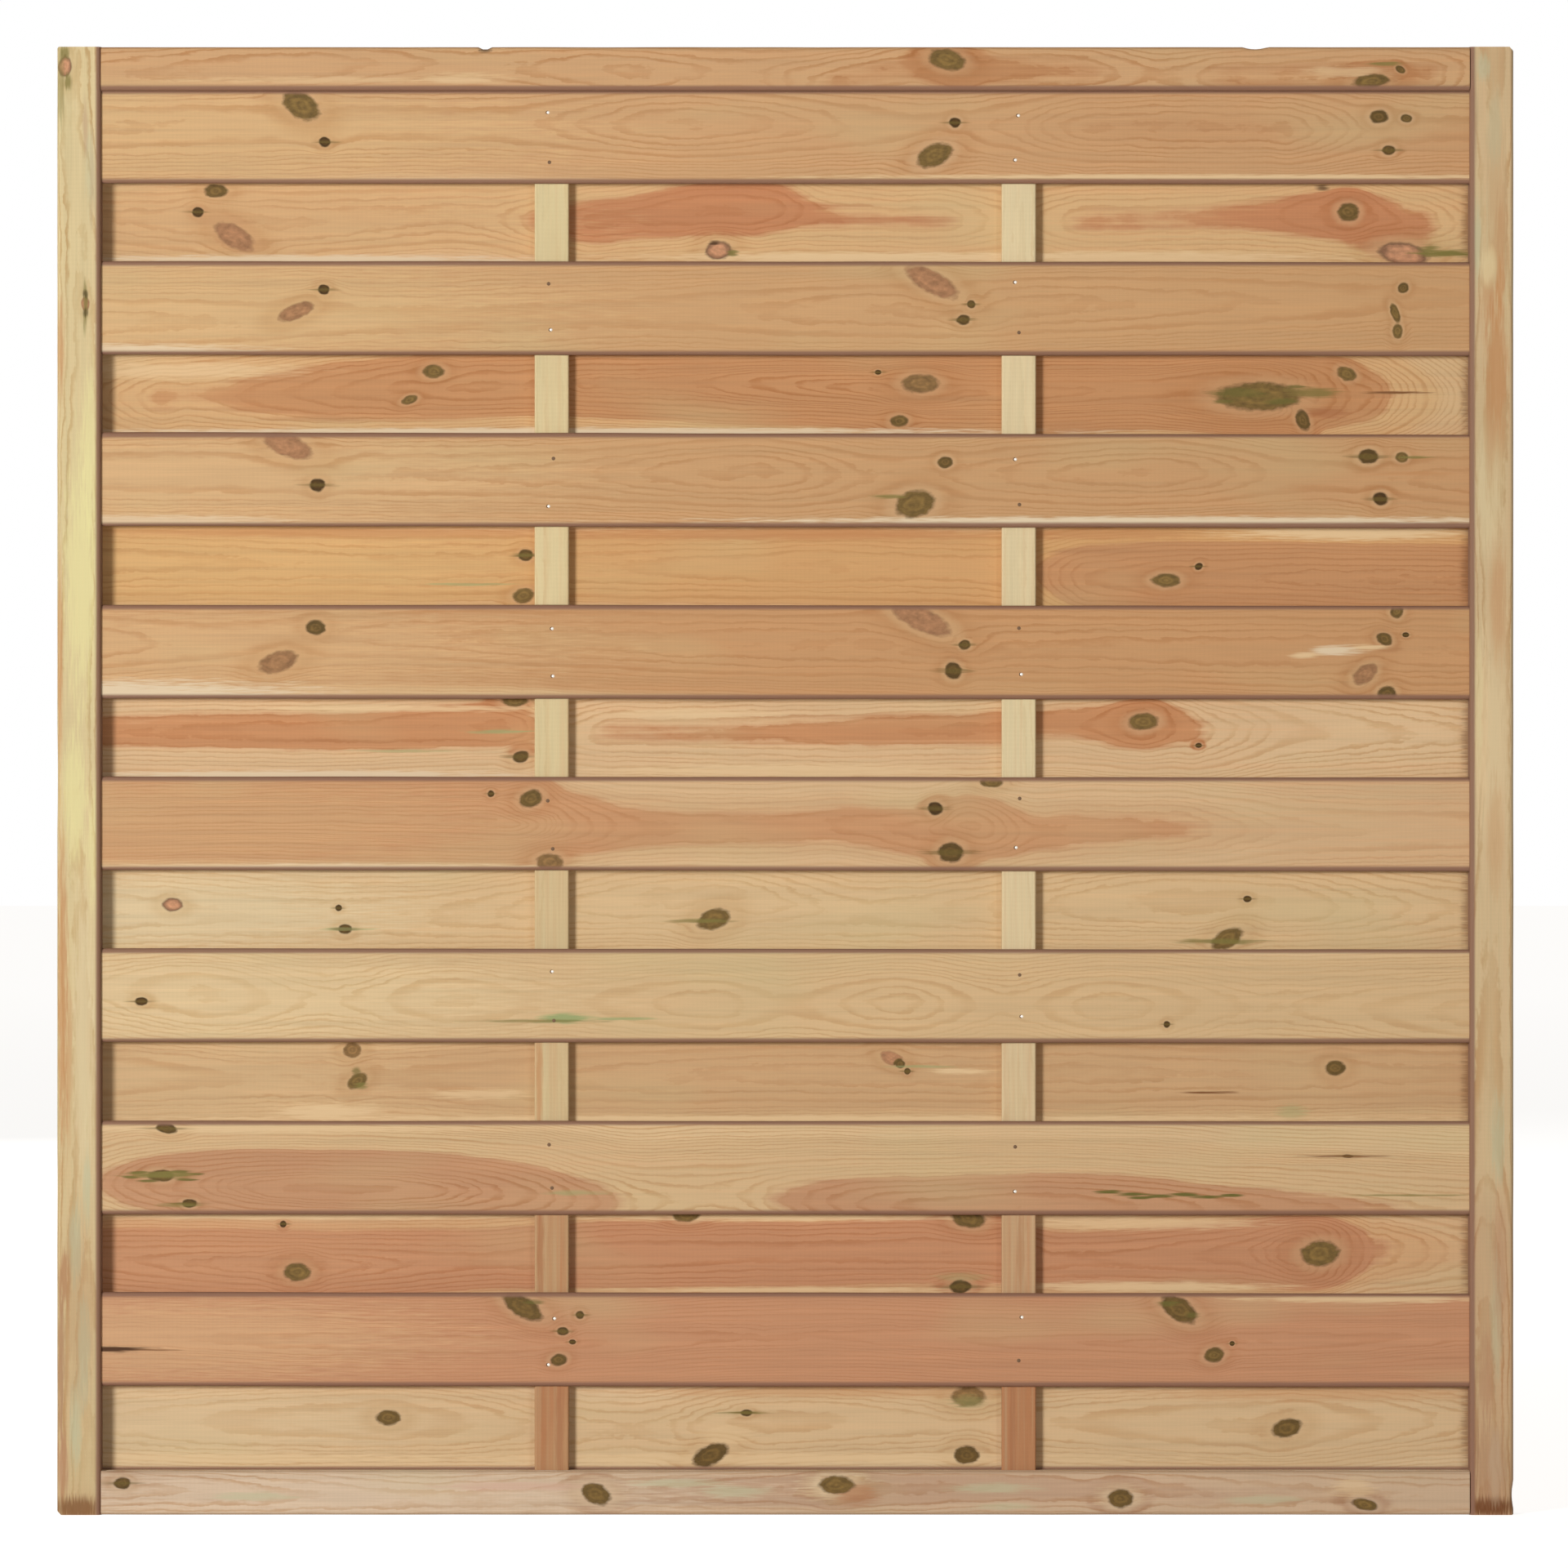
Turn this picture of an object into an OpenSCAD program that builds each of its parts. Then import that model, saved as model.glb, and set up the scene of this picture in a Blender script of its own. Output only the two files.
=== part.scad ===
// Hit and miss timber fence panel
//
// A square frame of two stiles and two rails, all cut from one grooved stock,
// holds two layers of thin boards. The front boards and the back boards take
// turns up the panel, so each back board covers the gap between two front
// boards. Two battens stand between the layers and carry the nails.
//
// X runs from the outer face of the left stile, Y from front to back, and Z up.
// The origin is at the foot of the left stile's outer face, at mid depth, where
// the panel is fixed to its post.

/* [Panel] */
// Width over both stiles
panel_w = 1786; // [1000:1:2400]
// Height of the stiles
panel_h = 1800; // [1400:10:2100]

/* [Frame stock] */
// Face width of a stile or rail
frame_w = 54; // [40:1:80]
// Depth of a stile or rail, front to back
frame_d = 45; // [42:1:70]
// Radius of the stock's rounded long edges
arris_r = 5; // [1:0.5:6]
// Depth of the two grooves in the stock's inner face
groove_depth = 12; // [8:1:20]

/* [Boards] */
// Boards in each layer
boards_per_layer = 8; // [6:1:10]
// Width of a board, over its rounded edges
board_w = 115; // [108:1:125]
// Thickness of a board
board_t = 8; // [6:0.5:9]
// How far the first and last board reach into a rail's groove
edge_tuck = 2; // [1:0.5:6]

/* [Battens] */
// Face width of a batten
batten_w = 42; // [20:1:80]
// Thickness of a batten, which keeps the two layers apart
batten_t = 16; // [10:1:18]
// Radius of a batten's long edges
batten_r = 2; // [0.5:0.5:4]

/* [Clearances] */
// Play between a board's face and the side of its groove
groove_play = 0.3; // [0.1:0.1:0.5]
// Gap left for movement between the end of a board or tenon and the groove's floor
end_gap = 1; // [0.5:0.5:3]

/* [Hidden] */

// Segments that stand for a full circle on the rounded edges
ROUND = 48;
// Amount by which a cut passes the face it opens
CUT = 1;
// Bays between the stiles and battens
BAYS = 3;

STILE_COLOUR = "#D8C79A";
RAIL_COLOUR = "#C9A878";
BATTEN_COLOUR = "#D9C08E";
FRONT_COLOUR = "#CFA06E";
BACK_COLOUR = "#C8966A";

// Depths measured from the middle of the panel
layer_inner = batten_t / 2;
layer_outer = layer_inner + board_t;
lip_t = frame_d / 2 - layer_outer - groove_play;
arris = min(arris_r, lip_t - 0.5);

// Lengths between the stiles and between the rails
clear_w = panel_w - 2 * frame_w;
clear_h = panel_h - 2 * frame_w;
seat_depth = groove_depth - end_gap;
board_len = clear_w + 2 * seat_depth;
board_x = frame_w - seat_depth;

// Each board stands half a pitch above the next one, which is in the other layer
lowest_z = frame_w - edge_tuck;
half_pitch = (panel_h - 2 * lowest_z - board_w) / (2 * boards_per_layer - 1);

bay_w = (clear_w - (BAYS - 1) * batten_w) / BAYS;

// A rectangle from x = 0, centred on y, with rounded corners
module rounded_section(width, depth, radius) {
    translate([radius, -depth / 2]) square([width - 2 * radius, depth]);
    translate([0, radius - depth / 2]) square([width, depth - 2 * radius]);
    for (x = [radius, width - radius])
        for (side = [-1, 1])
            translate([x, side * (depth / 2 - radius)]) circle(r = radius, $fn = ROUND);
}

// Section of the frame stock: outer face at x = 0, grooved face at x = frame_w
module stock_section() {
    groove_w = board_t + 2 * groove_play;
    difference() {
        rounded_section(frame_w, frame_d, arris);
        for (side = [-1, 1])
            translate([frame_w - groove_depth, side * (layer_inner + board_t / 2) - groove_w / 2])
                square([groove_depth + CUT, groove_w]);
    }
}

// A stile standing at x = 0 with its grooves toward +X
module stile() {
    linear_extrude(height = panel_h) stock_section();
}

// One of the two stub tenons on a rail's end. It is as thick as a board and fills
// the end of the stile's groove, from the rail's outer face to its own groove.
module stub_tenon(side) {
    translate([-seat_depth, side * (layer_inner + board_t / 2) - board_t / 2, groove_depth - frame_w])
        cube([seat_depth, board_t, frame_w - groove_depth]);
}

// A rail lying along +X from x = 0, its outer face at z = 0 and its grooves below
module rail() {
    rotate([0, 90, 0]) linear_extrude(height = clear_w) stock_section();
    for (side = [-1, 1]) {
        stub_tenon(side);
        translate([clear_w, 0, 0]) mirror([1, 0, 0]) stub_tenon(side);
    }
}

// A board lying along +X, its lower edge at z = 0, with full round long edges
module board() {
    rotate([90, 0, 90]) linear_extrude(height = board_len) {
        translate([-board_t / 2, board_t / 2]) square([board_t, board_w - board_t]);
        for (z = [board_t / 2, board_w - board_t / 2])
            translate([0, z]) circle(r = board_t / 2, $fn = ROUND);
    }
}

// A batten standing on the bottom rail, left side at x = 0
module batten() {
    linear_extrude(height = clear_h) rounded_section(batten_w, batten_t, batten_r);
}

module left_stile() {
    color(STILE_COLOUR) stile();
}

module right_stile() {
    color(STILE_COLOUR) translate([panel_w, 0, 0]) mirror([1, 0, 0]) stile();
}

module top_rail() {
    color(RAIL_COLOUR) translate([frame_w, 0, panel_h]) rail();
}

module bottom_rail() {
    color(RAIL_COLOUR) translate([frame_w, 0, 0]) mirror([0, 0, 1]) rail();
}

module left_batten() {
    color(BATTEN_COLOUR) translate([frame_w + bay_w, 0, frame_w]) batten();
}

module right_batten() {
    color(BATTEN_COLOUR) translate([panel_w - frame_w - bay_w - batten_w, 0, frame_w]) batten();
}

// Front boards are counted from the top, and the first one sits in the top rail
module front_board(number) {
    steps_up = 2 * (boards_per_layer - number) + 1;
    color(FRONT_COLOUR)
        translate([board_x, -layer_inner - board_t / 2, lowest_z + steps_up * half_pitch])
            board();
}

// Back boards are counted from the top, and the last one sits in the bottom rail
module back_board(number) {
    steps_up = 2 * (boards_per_layer - number);
    color(BACK_COLOUR)
        translate([board_x, layer_inner + board_t / 2, lowest_z + steps_up * half_pitch])
            board();
}

left_stile();
right_stile();
top_rail();
bottom_rail();
left_batten();
right_batten();
for (i = [1 : boards_per_layer]) {
    front_board(i);
    back_board(i);
}
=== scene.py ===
"""Finish and stage of a hit and miss fence panel in pressure-treated pine.

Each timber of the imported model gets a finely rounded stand-in of the same size,
with its own growth rings, heartwood and knots. Nails, the lights, the floor and
the camera are added. Sizes are millimetres in the panel's frame: x from the left
stile's outer face, z from the ground, y from mid depth. The camera's, the lamps'
and the floor's are metres.
"""
import math
import random
from functools import partial
from typing import NamedTuple

import bmesh
import bpy
from bpy.props import FloatProperty, FloatVectorProperty, PointerProperty
from mathutils import Matrix, Vector, noise


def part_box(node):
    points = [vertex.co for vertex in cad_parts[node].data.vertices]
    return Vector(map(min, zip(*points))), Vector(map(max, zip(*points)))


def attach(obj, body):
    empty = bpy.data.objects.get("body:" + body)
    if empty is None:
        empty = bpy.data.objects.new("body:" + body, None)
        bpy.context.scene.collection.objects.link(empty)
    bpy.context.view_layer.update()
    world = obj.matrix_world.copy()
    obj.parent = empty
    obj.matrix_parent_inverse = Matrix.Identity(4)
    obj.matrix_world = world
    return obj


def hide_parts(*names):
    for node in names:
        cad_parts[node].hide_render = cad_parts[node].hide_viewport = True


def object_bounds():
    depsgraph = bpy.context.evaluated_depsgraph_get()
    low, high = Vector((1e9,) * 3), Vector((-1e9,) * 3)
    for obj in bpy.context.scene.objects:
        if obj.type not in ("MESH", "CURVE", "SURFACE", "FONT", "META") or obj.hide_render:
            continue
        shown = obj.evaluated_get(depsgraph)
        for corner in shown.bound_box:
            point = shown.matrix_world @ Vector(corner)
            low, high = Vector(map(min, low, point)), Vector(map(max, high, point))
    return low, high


bl_info = {
    "name": "Hit and Miss Fence Panel",
    "version": (1, 0, 0),
    "blender": (4, 5, 0),
    "location": "View3D > Sidebar > Fence Panel",
    "description": "Dresses a timber fence panel in pressure-treated pine",
    "category": "Object",
}

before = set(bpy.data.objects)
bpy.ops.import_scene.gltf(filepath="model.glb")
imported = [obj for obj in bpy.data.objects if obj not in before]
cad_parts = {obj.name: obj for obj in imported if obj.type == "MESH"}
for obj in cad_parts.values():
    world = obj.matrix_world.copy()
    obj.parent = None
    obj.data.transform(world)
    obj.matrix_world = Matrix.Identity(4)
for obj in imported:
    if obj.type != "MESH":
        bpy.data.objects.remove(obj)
CAD_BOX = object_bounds()

# Millimetres in a metre, which is Blender's unit here
MM = 1000.0
PANEL_W = CAD_BOX[1].x * MM
PANEL_H = CAD_BOX[1].z * MM
BOARDS = range(1, 9)


def corners_mm(node):
    """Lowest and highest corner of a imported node, in millimetres."""
    low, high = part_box(node)
    return Vector(low) * MM, Vector(high) * MM


def linear(code):
    """A colour written as an sRGB hex code, turned to Blender's linear values."""
    channels = [int(code[i:i + 2], 16) / 255 for i in (1, 3, 5)]
    return [c / 12.92 if c <= 0.04045 else ((c + 0.055) / 1.055) ** 2.4 for c in channels]


# What is known of each timber, in millimetres that were read off the photograph.
# Along runs from a level timber's left end, as far as the panel's, or up from an upright's
# foot, and across is measured from the middle of its face, up or to the right.


class Knot(NamedTuple):
    """A branch cut through: place, half sizes and turn on the timber's face."""

    along: float
    across: float
    long: float
    high: float
    turn: float = 0
    tone: float = 0.3


class Stain(NamedTuple):
    """A patch or line of another colour that follows the grain; one of them is the painted shade at the
    back boards' right ends.
    """

    along: float
    across: float
    long: float
    high: float
    colour: str
    strength: float = 0.8


class Pith(NamedTuple):
    """Where the middle of the tree lay behind the face, at one place along it."""

    along: float
    across: float
    depth: float
    red: float = 0.0


# Distance from the pith at which the red heartwood ends and the palest wood begins
HEART_R = 50
PALE_R = 74
# With the pith this far behind it, the face only just touches the heartwood. No pith lies
# nearer to the face than the least depth.
HEART_REACH = HEART_R + 0.7
LEAST_DEPTH = 8


def heart(*outline, red=0.0):
    """Piths that give the heartwood this outline on the face, as (along, lower, upper) places."""
    places = []
    for along, lower, upper in outline:
        half = (upper - lower) / 2
        depth = math.sqrt(max(HEART_REACH ** 2 - half ** 2, LEAST_DEPTH ** 2))
        places.append(Pith(along, (lower + upper) / 2, depth, red))
    return places


class Dent(NamedTuple):
    """Wear on a frame timber's outer edge: place, half length and depth."""

    along: float
    long: float
    deep: float


class Wood(NamedTuple):
    """Colours of one timber's sapwood, its outer sapwood and its heartwood."""

    sap: str
    pale: str
    heart: str


# Knot tones: dark and dead, olive from the treatment, rosy where it is sound, and loose in a dark rim
DARK, OLIVE, ROSY, LOOSE = 0.0, 0.5, 0.85, 1.0
KNOT_COLOURS = {DARK: "#4C340E", OLIVE: "#7A6032", ROSY: "#A67854", LOOSE: "#C08C68"}

# Stains: copper treatment in the grain, resin and bark lines, and browned or paler wood
GREEN = "#7A7038"
SAGE = "#98A06C"
MINT = "#B9B795"
MOSS = "#665E2A"
TAIL = "#665424"
RESIN = "#7C5230"
SOOT = "#4A3018"
BROWN = "#BC8656"
RUSSET = "#B87E50"
LEMON = "#E2DA9C"
PALE = "#DFC296"
CREAM = "#DCC8A8"


def pale_end(colour, reach=480):
    """A ground colour of its own toward the left end of a front board."""
    return Stain(190, 0, reach, 70, colour, 0.9)


def dashes(colour, strength, high, *places):
    """Short marks of one colour and height along the grain, as (along, across, long) places."""
    return [Stain(along, across, long, high, colour, strength) for along, across, long in places]


# Shade of the stile on the right end of each back board
END_SHADE = Stain(1737, 0, 13, 75, "#7A5030", 0.6)


class Timber(NamedTuple):
    """Everything that the finish of one piece needs.

    The ground colours the wood before its rings are drawn, stains lie over the rings and
    under the knots, and marks lie over both. The figure is the strength of the rings, and
    the halo is how far heartwood reaches out round a knot. Tilt lifts each end of a board,
    and clipped is the size of the worn corner at each end of a stile.
    """

    wood: Wood
    pith: tuple
    knots: tuple = ()
    stains: tuple = ()
    ground: tuple = ()
    marks: tuple = ()
    figure: float = 0.6
    heart_r: float = HEART_R
    pale_r: float = PALE_R
    halo: float = 8.0
    # Which long edges get painted shade, the lower or left one first
    shaded_edges: tuple = (True, True)
    tilt: tuple = (0.0, 0.0)
    clipped: tuple = (1.0, 1.0)
    dents: tuple = ()


FRONT = {
    1: Timber(
        Wood("#CAA073", "#D8B890", "#C29468"),
        pith=(Pith(0, 12, 62), Pith(560, 14, 64, 0.16), Pith(780, 16, 53, 0.24), Pith(1040, 14, 65, 0.37),
            Pith(1180, 12, 60, 0.44),
            *heart((1251, 10, 11), (1310, 3, 17), (1400, 0, 20), (1480, 2, 20), (1521, 10, 11), red=0.55),
            Pith(1600, 12, 62, 0.6), Pith(1740, 10, 66, 0.77)),
        knots=(Knot(299, 38, 24, 15, -32, OLIVE), Knot(328, -7, 7, 6, 0, DARK),
            Knot(1101, 17, 7, 6, 0, DARK), Knot(1076, -23, 22, 13, 24, OLIVE),
            Knot(1621, 24, 11, 8, 0, 0.25), Knot(1655, 22, 7, 5, 0, 0.3), Knot(1633, -17, 8, 6, 10, 0.2)),
        stains=(Stain(1400, -50, 520, 4, PALE),),
        ground=(pale_end("#D0AA7A"), Stain(1399, 6, 150, 24, "#BE8E62", 0.4)),
        figure=0.5,
        pale_r=92,
        tilt=(0.0, -0.8),
    ),
    2: Timber(
        Wood("#CAA072", "#D6B68A", "#BF9264"),
        pith=(Pith(0, -18, 60), Pith(600, -10, 66, 0.17), Pith(1150, 2, 58, 0.33),
            Pith(1740, 12, 67, 0.57)),
        knots=(Knot(327, 23, 7, 6, 0, DARK), Knot(293, -4, 22, 9, 22, 0.8),
            Knot(1073, 32, 34, 13, -28, ROSY), Knot(1121, 5, 5, 5, 0, 0.2), Knot(1111, -14, 8, 6, 0, 0.2),
            Knot(1651, 25, 7, 6, 30, 0.3), Knot(1641, -6, 5, 12, 20, 0.4),
            Knot(1644, -28, 6, 9, 0, OLIVE)),
        stains=(Stain(70, -52, 200, 9, CREAM),),
        ground=(pale_end("#D0AC7C"),),
        figure=0.4,
        pale_r=94,
        tilt=(0.8, -0.8),
    ),
    3: Timber(
        Wood("#C89E70", "#D8B88E", "#BF9165"),
        pith=(Pith(0, 10, 64), Pith(640, 8, 60, 0.23), Pith(860, 8, 52, 0.3), Pith(1020, 4, 63, 0.35),
            Pith(1340, 10, 53, 0.49), Pith(1520, 8, 64, 0.61), Pith(1740, 0, 60, 0.76)),
        knots=(Knot(283, 42, 30, 13, -20, ROSY), Knot(319, -6, 9, 8, 0, DARK), Knot(1089, 22, 9, 7, 0, 0.3),
            Knot(1052, -29, 24, 16, 12, OLIVE), Knot(1608, 29, 12, 9, 0, 0.15),
            Knot(1649, 28, 8, 6, 0, 0.45), Knot(1623, -23, 9, 8, 0, DARK)),
        stains=(Stain(1340, -50, 560, 6, CREAM, 1), Stain(1660, 8, 60, 3, BROWN, 0.5),
            Stain(110, -50, 190, 8, CREAM, 0.6)),
        ground=(pale_end("#D0AA7C"),),
        marks=(Stain(1665, 28, 26, 2, GREEN), Stain(1020, -20, 26, 3, GREEN)),
        figure=0.5,
        pale_r=88,
        tilt=(1.5, -1.5),
    ),
    4: Timber(
        Wood("#C6986A", "#D8B98C", "#BB8A5E"),
        pith=(Pith(0, 10, 58, 0.1), Pith(200, 15, 64, 0.16), Pith(420, 20, 60, 0.22),
            Pith(820, 10, 57, 0.3), Pith(1300, 2, 55, 0.3), Pith(1740, 0, 53, 0.3)),
        knots=(Knot(317, 30, 12, 9, 0, 0.3), Knot(271, -12, 24, 12, 18, 0.75),
            Knot(1059, 41, 38, 14, -26, ROSY), Knot(1113, 9, 7, 6, 0, 0.2),
            Knot(1099, -23, 10, 10, 0, 0.15), Knot(1628, 16, 10, 7, -22, 0.3),
            Knot(1604, -27, 16, 10, 34, 0.8), Knot(1631, -51, 11, 9, 0, 0.3), Knot(1643, 50, 8, 8, 0, 0.4),
            Knot(1654, 21, 4, 3, 0, DARK)),
        stains=(Stain(1570, 2, 34, 7, CREAM, 0.9), Stain(1530, -4, 20, 4, PALE),
            Stain(1610, 6, 24, 4, PALE), Stain(56, -52, 290, 20, CREAM, 0.9)),
        ground=(pale_end("#CEA678"),),
        figure=0.45,
        pale_r=88,
        tilt=(0.5, -0.5),
    ),
    5: Timber(
        Wood("#CEA97F", "#D4B288", "#C39167"),
        pith=(*heart((0, -48, 60), (450, -48, 60), (560, -46, 56), (617, -41, 43), (681, -31, 25),
                (761, -23, 17), (889, -21, 13), (961, -23, 21), (1065, -39, 25), (1121, -43, 41),
                (1185, -35, 17), (1241, -27, 13), (1321, -19, 9), (1392, -6, -3)),
            Pith(1500, -6, 60, 0.2), Pith(1740, -8, 64, 0.3)),
        knots=(Knot(581, 31, 14, 10, 18, 0.4), Knot(604, -47, 16, 10, 0, 0.6), Knot(532, 37, 4, 4, 0, DARK),
            Knot(1077, 19, 9, 8, 0, DARK), Knot(1096, -35, 15, 12, 0, 0.2),
            Knot(1146, 51, 14, 6, 0, OLIVE)),
        stains=(Stain(300, -52, 380, 3.5, PALE), Stain(330, -56, 260, 8, CREAM, 0.6)),
        ground=(pale_end("#C79C70", reach=380),),
        figure=0.35,
        pale_r=60,
        halo=5,
        tilt=(0.8, -0.6),
    ),
    6: Timber(
        Wood("#D0B084", "#D7BA90", "#CCAA7E"),
        pith=(Pith(0, 6, 74), Pith(180, 0, 62), Pith(330, -6, 72), Pith(480, -8, 62), Pith(620, -8, 68),
            Pith(800, -8, 60), Pith(900, -10, 66), Pith(1040, -12, 58), Pith(1160, -12, 70),
            Pith(1290, -14, 60), Pith(1480, -14, 72), Pith(1740, -22, 60)),
        knots=(Knot(103, -7, 8, 5, 0, DARK), Knot(1361, -35, 4, 4, 0, DARK)),
        ground=(Stain(200, 0, 460, 70, "#DCC498", 0.6),),
        marks=(Stain(624, -28, 40, 7, SAGE, 1), Stain(590, -31, 90, 2.5, GREEN, 0.7),
            Stain(690, -28, 50, 2, SAGE)),
        figure=0.4,
        heart_r=44,
        pale_r=96,
        tilt=(0.8, -0.8),
    ),
    7: Timber(
        Wood("#D0B085", "#D6B78C", "#BE8F6A"),
        pith=(Pith(0, -20, 56), Pith(80, -20, 43), Pith(250, -24, 20), Pith(450, -26, 20),
            Pith(600, -34, 36), Pith(690, -42, 50), Pith(790, -34, 58), Pith(870, -38, 52),
            Pith(1000, -44, 36), Pith(1200, -46, 30), Pith(1400, -50, 38), Pith(1500, -52, 44),
            Pith(1600, -54, 48), Pith(1740, -56, 54)),
        knots=(Knot(134, 48, 13, 6, -10, 0.2), Knot(127, -10, 16, 7, 0, 0.3), Knot(162, -44, 9, 5, 0, 0.1),
            Knot(1583, 14, 7, 2, 0, DARK)),
        stains=(Stain(250, 48, 330, 6, PALE, 0.6),),
        marks=(*dashes(MOSS, 1, 2.6, (1290, -30, 20), (1318, -33, 22), (1350, -35, 26), (1384, -33, 20),
                (1412, -36, 22), (1440, -34, 18), (1330, -37, 16)),
            *dashes(MOSS, 0.9, 2.5, (100, -6, 16), (112, -16, 14), (150, -5, 18)),
            *dashes(MOSS, 0.9, 2, (160, -15, 14), (90, -12, 12), (172, -8, 12)),
            Stain(1660, -34, 90, 1.6, GREEN, 0.7), Stain(636, -31, 40, 4, SAGE, 0.5),
            Stain(127, -9, 50, 5, GREEN, 0.9), Stain(150, -46, 30, 3, GREEN, 0.7),
            Stain(1583, 14, 60, 1.6, RESIN)),
        pale_r=90,
        tilt=(0.0, -0.8),
    ),
    8: Timber(
        Wood("#C89E74", "#D2AE86", "#C08C68"),
        pith=(Pith(0, 5, 20), Pith(500, -6, 14), Pith(900, 4, 22), Pith(1350, -4, 12), Pith(1740, 4, 20)),
        knots=(Knot(571, 40, 26, 12, -30, 0.35), Knot(641, 30, 5, 5, 0, 0.2), Knot(620, 10, 7, 5, 0, 0.2),
            Knot(615, -25, 10, 7, 10, 0.3), Knot(632, -3, 4, 3, 0, DARK), Knot(1376, 37, 24, 13, -34, 0.35),
            Knot(1419, -19, 12, 9, 12, 0.4), Knot(1441, -5, 3, 3, 0, DARK)),
        stains=(Stain(1610, 50, 180, 6, PALE, 0.7),),
        ground=(Stain(150, 0, 380, 60, "#CFA67C", 0.7),),
        marks=(Stain(66, -12, 52, 4, "#4A2E18", 1), Stain(120, -13, 30, 1.5, RESIN),
            Stain(585, 46, 14, 3, MOSS, 0.7), Stain(1362, 44, 16, 4, MOSS),
            Stain(1392, 30, 10, 4, MOSS, 0.7)),
        figure=0.35,
        heart_r=96,
        halo=0,
        tilt=(0.6, -1.2),
    ),
}

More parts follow.
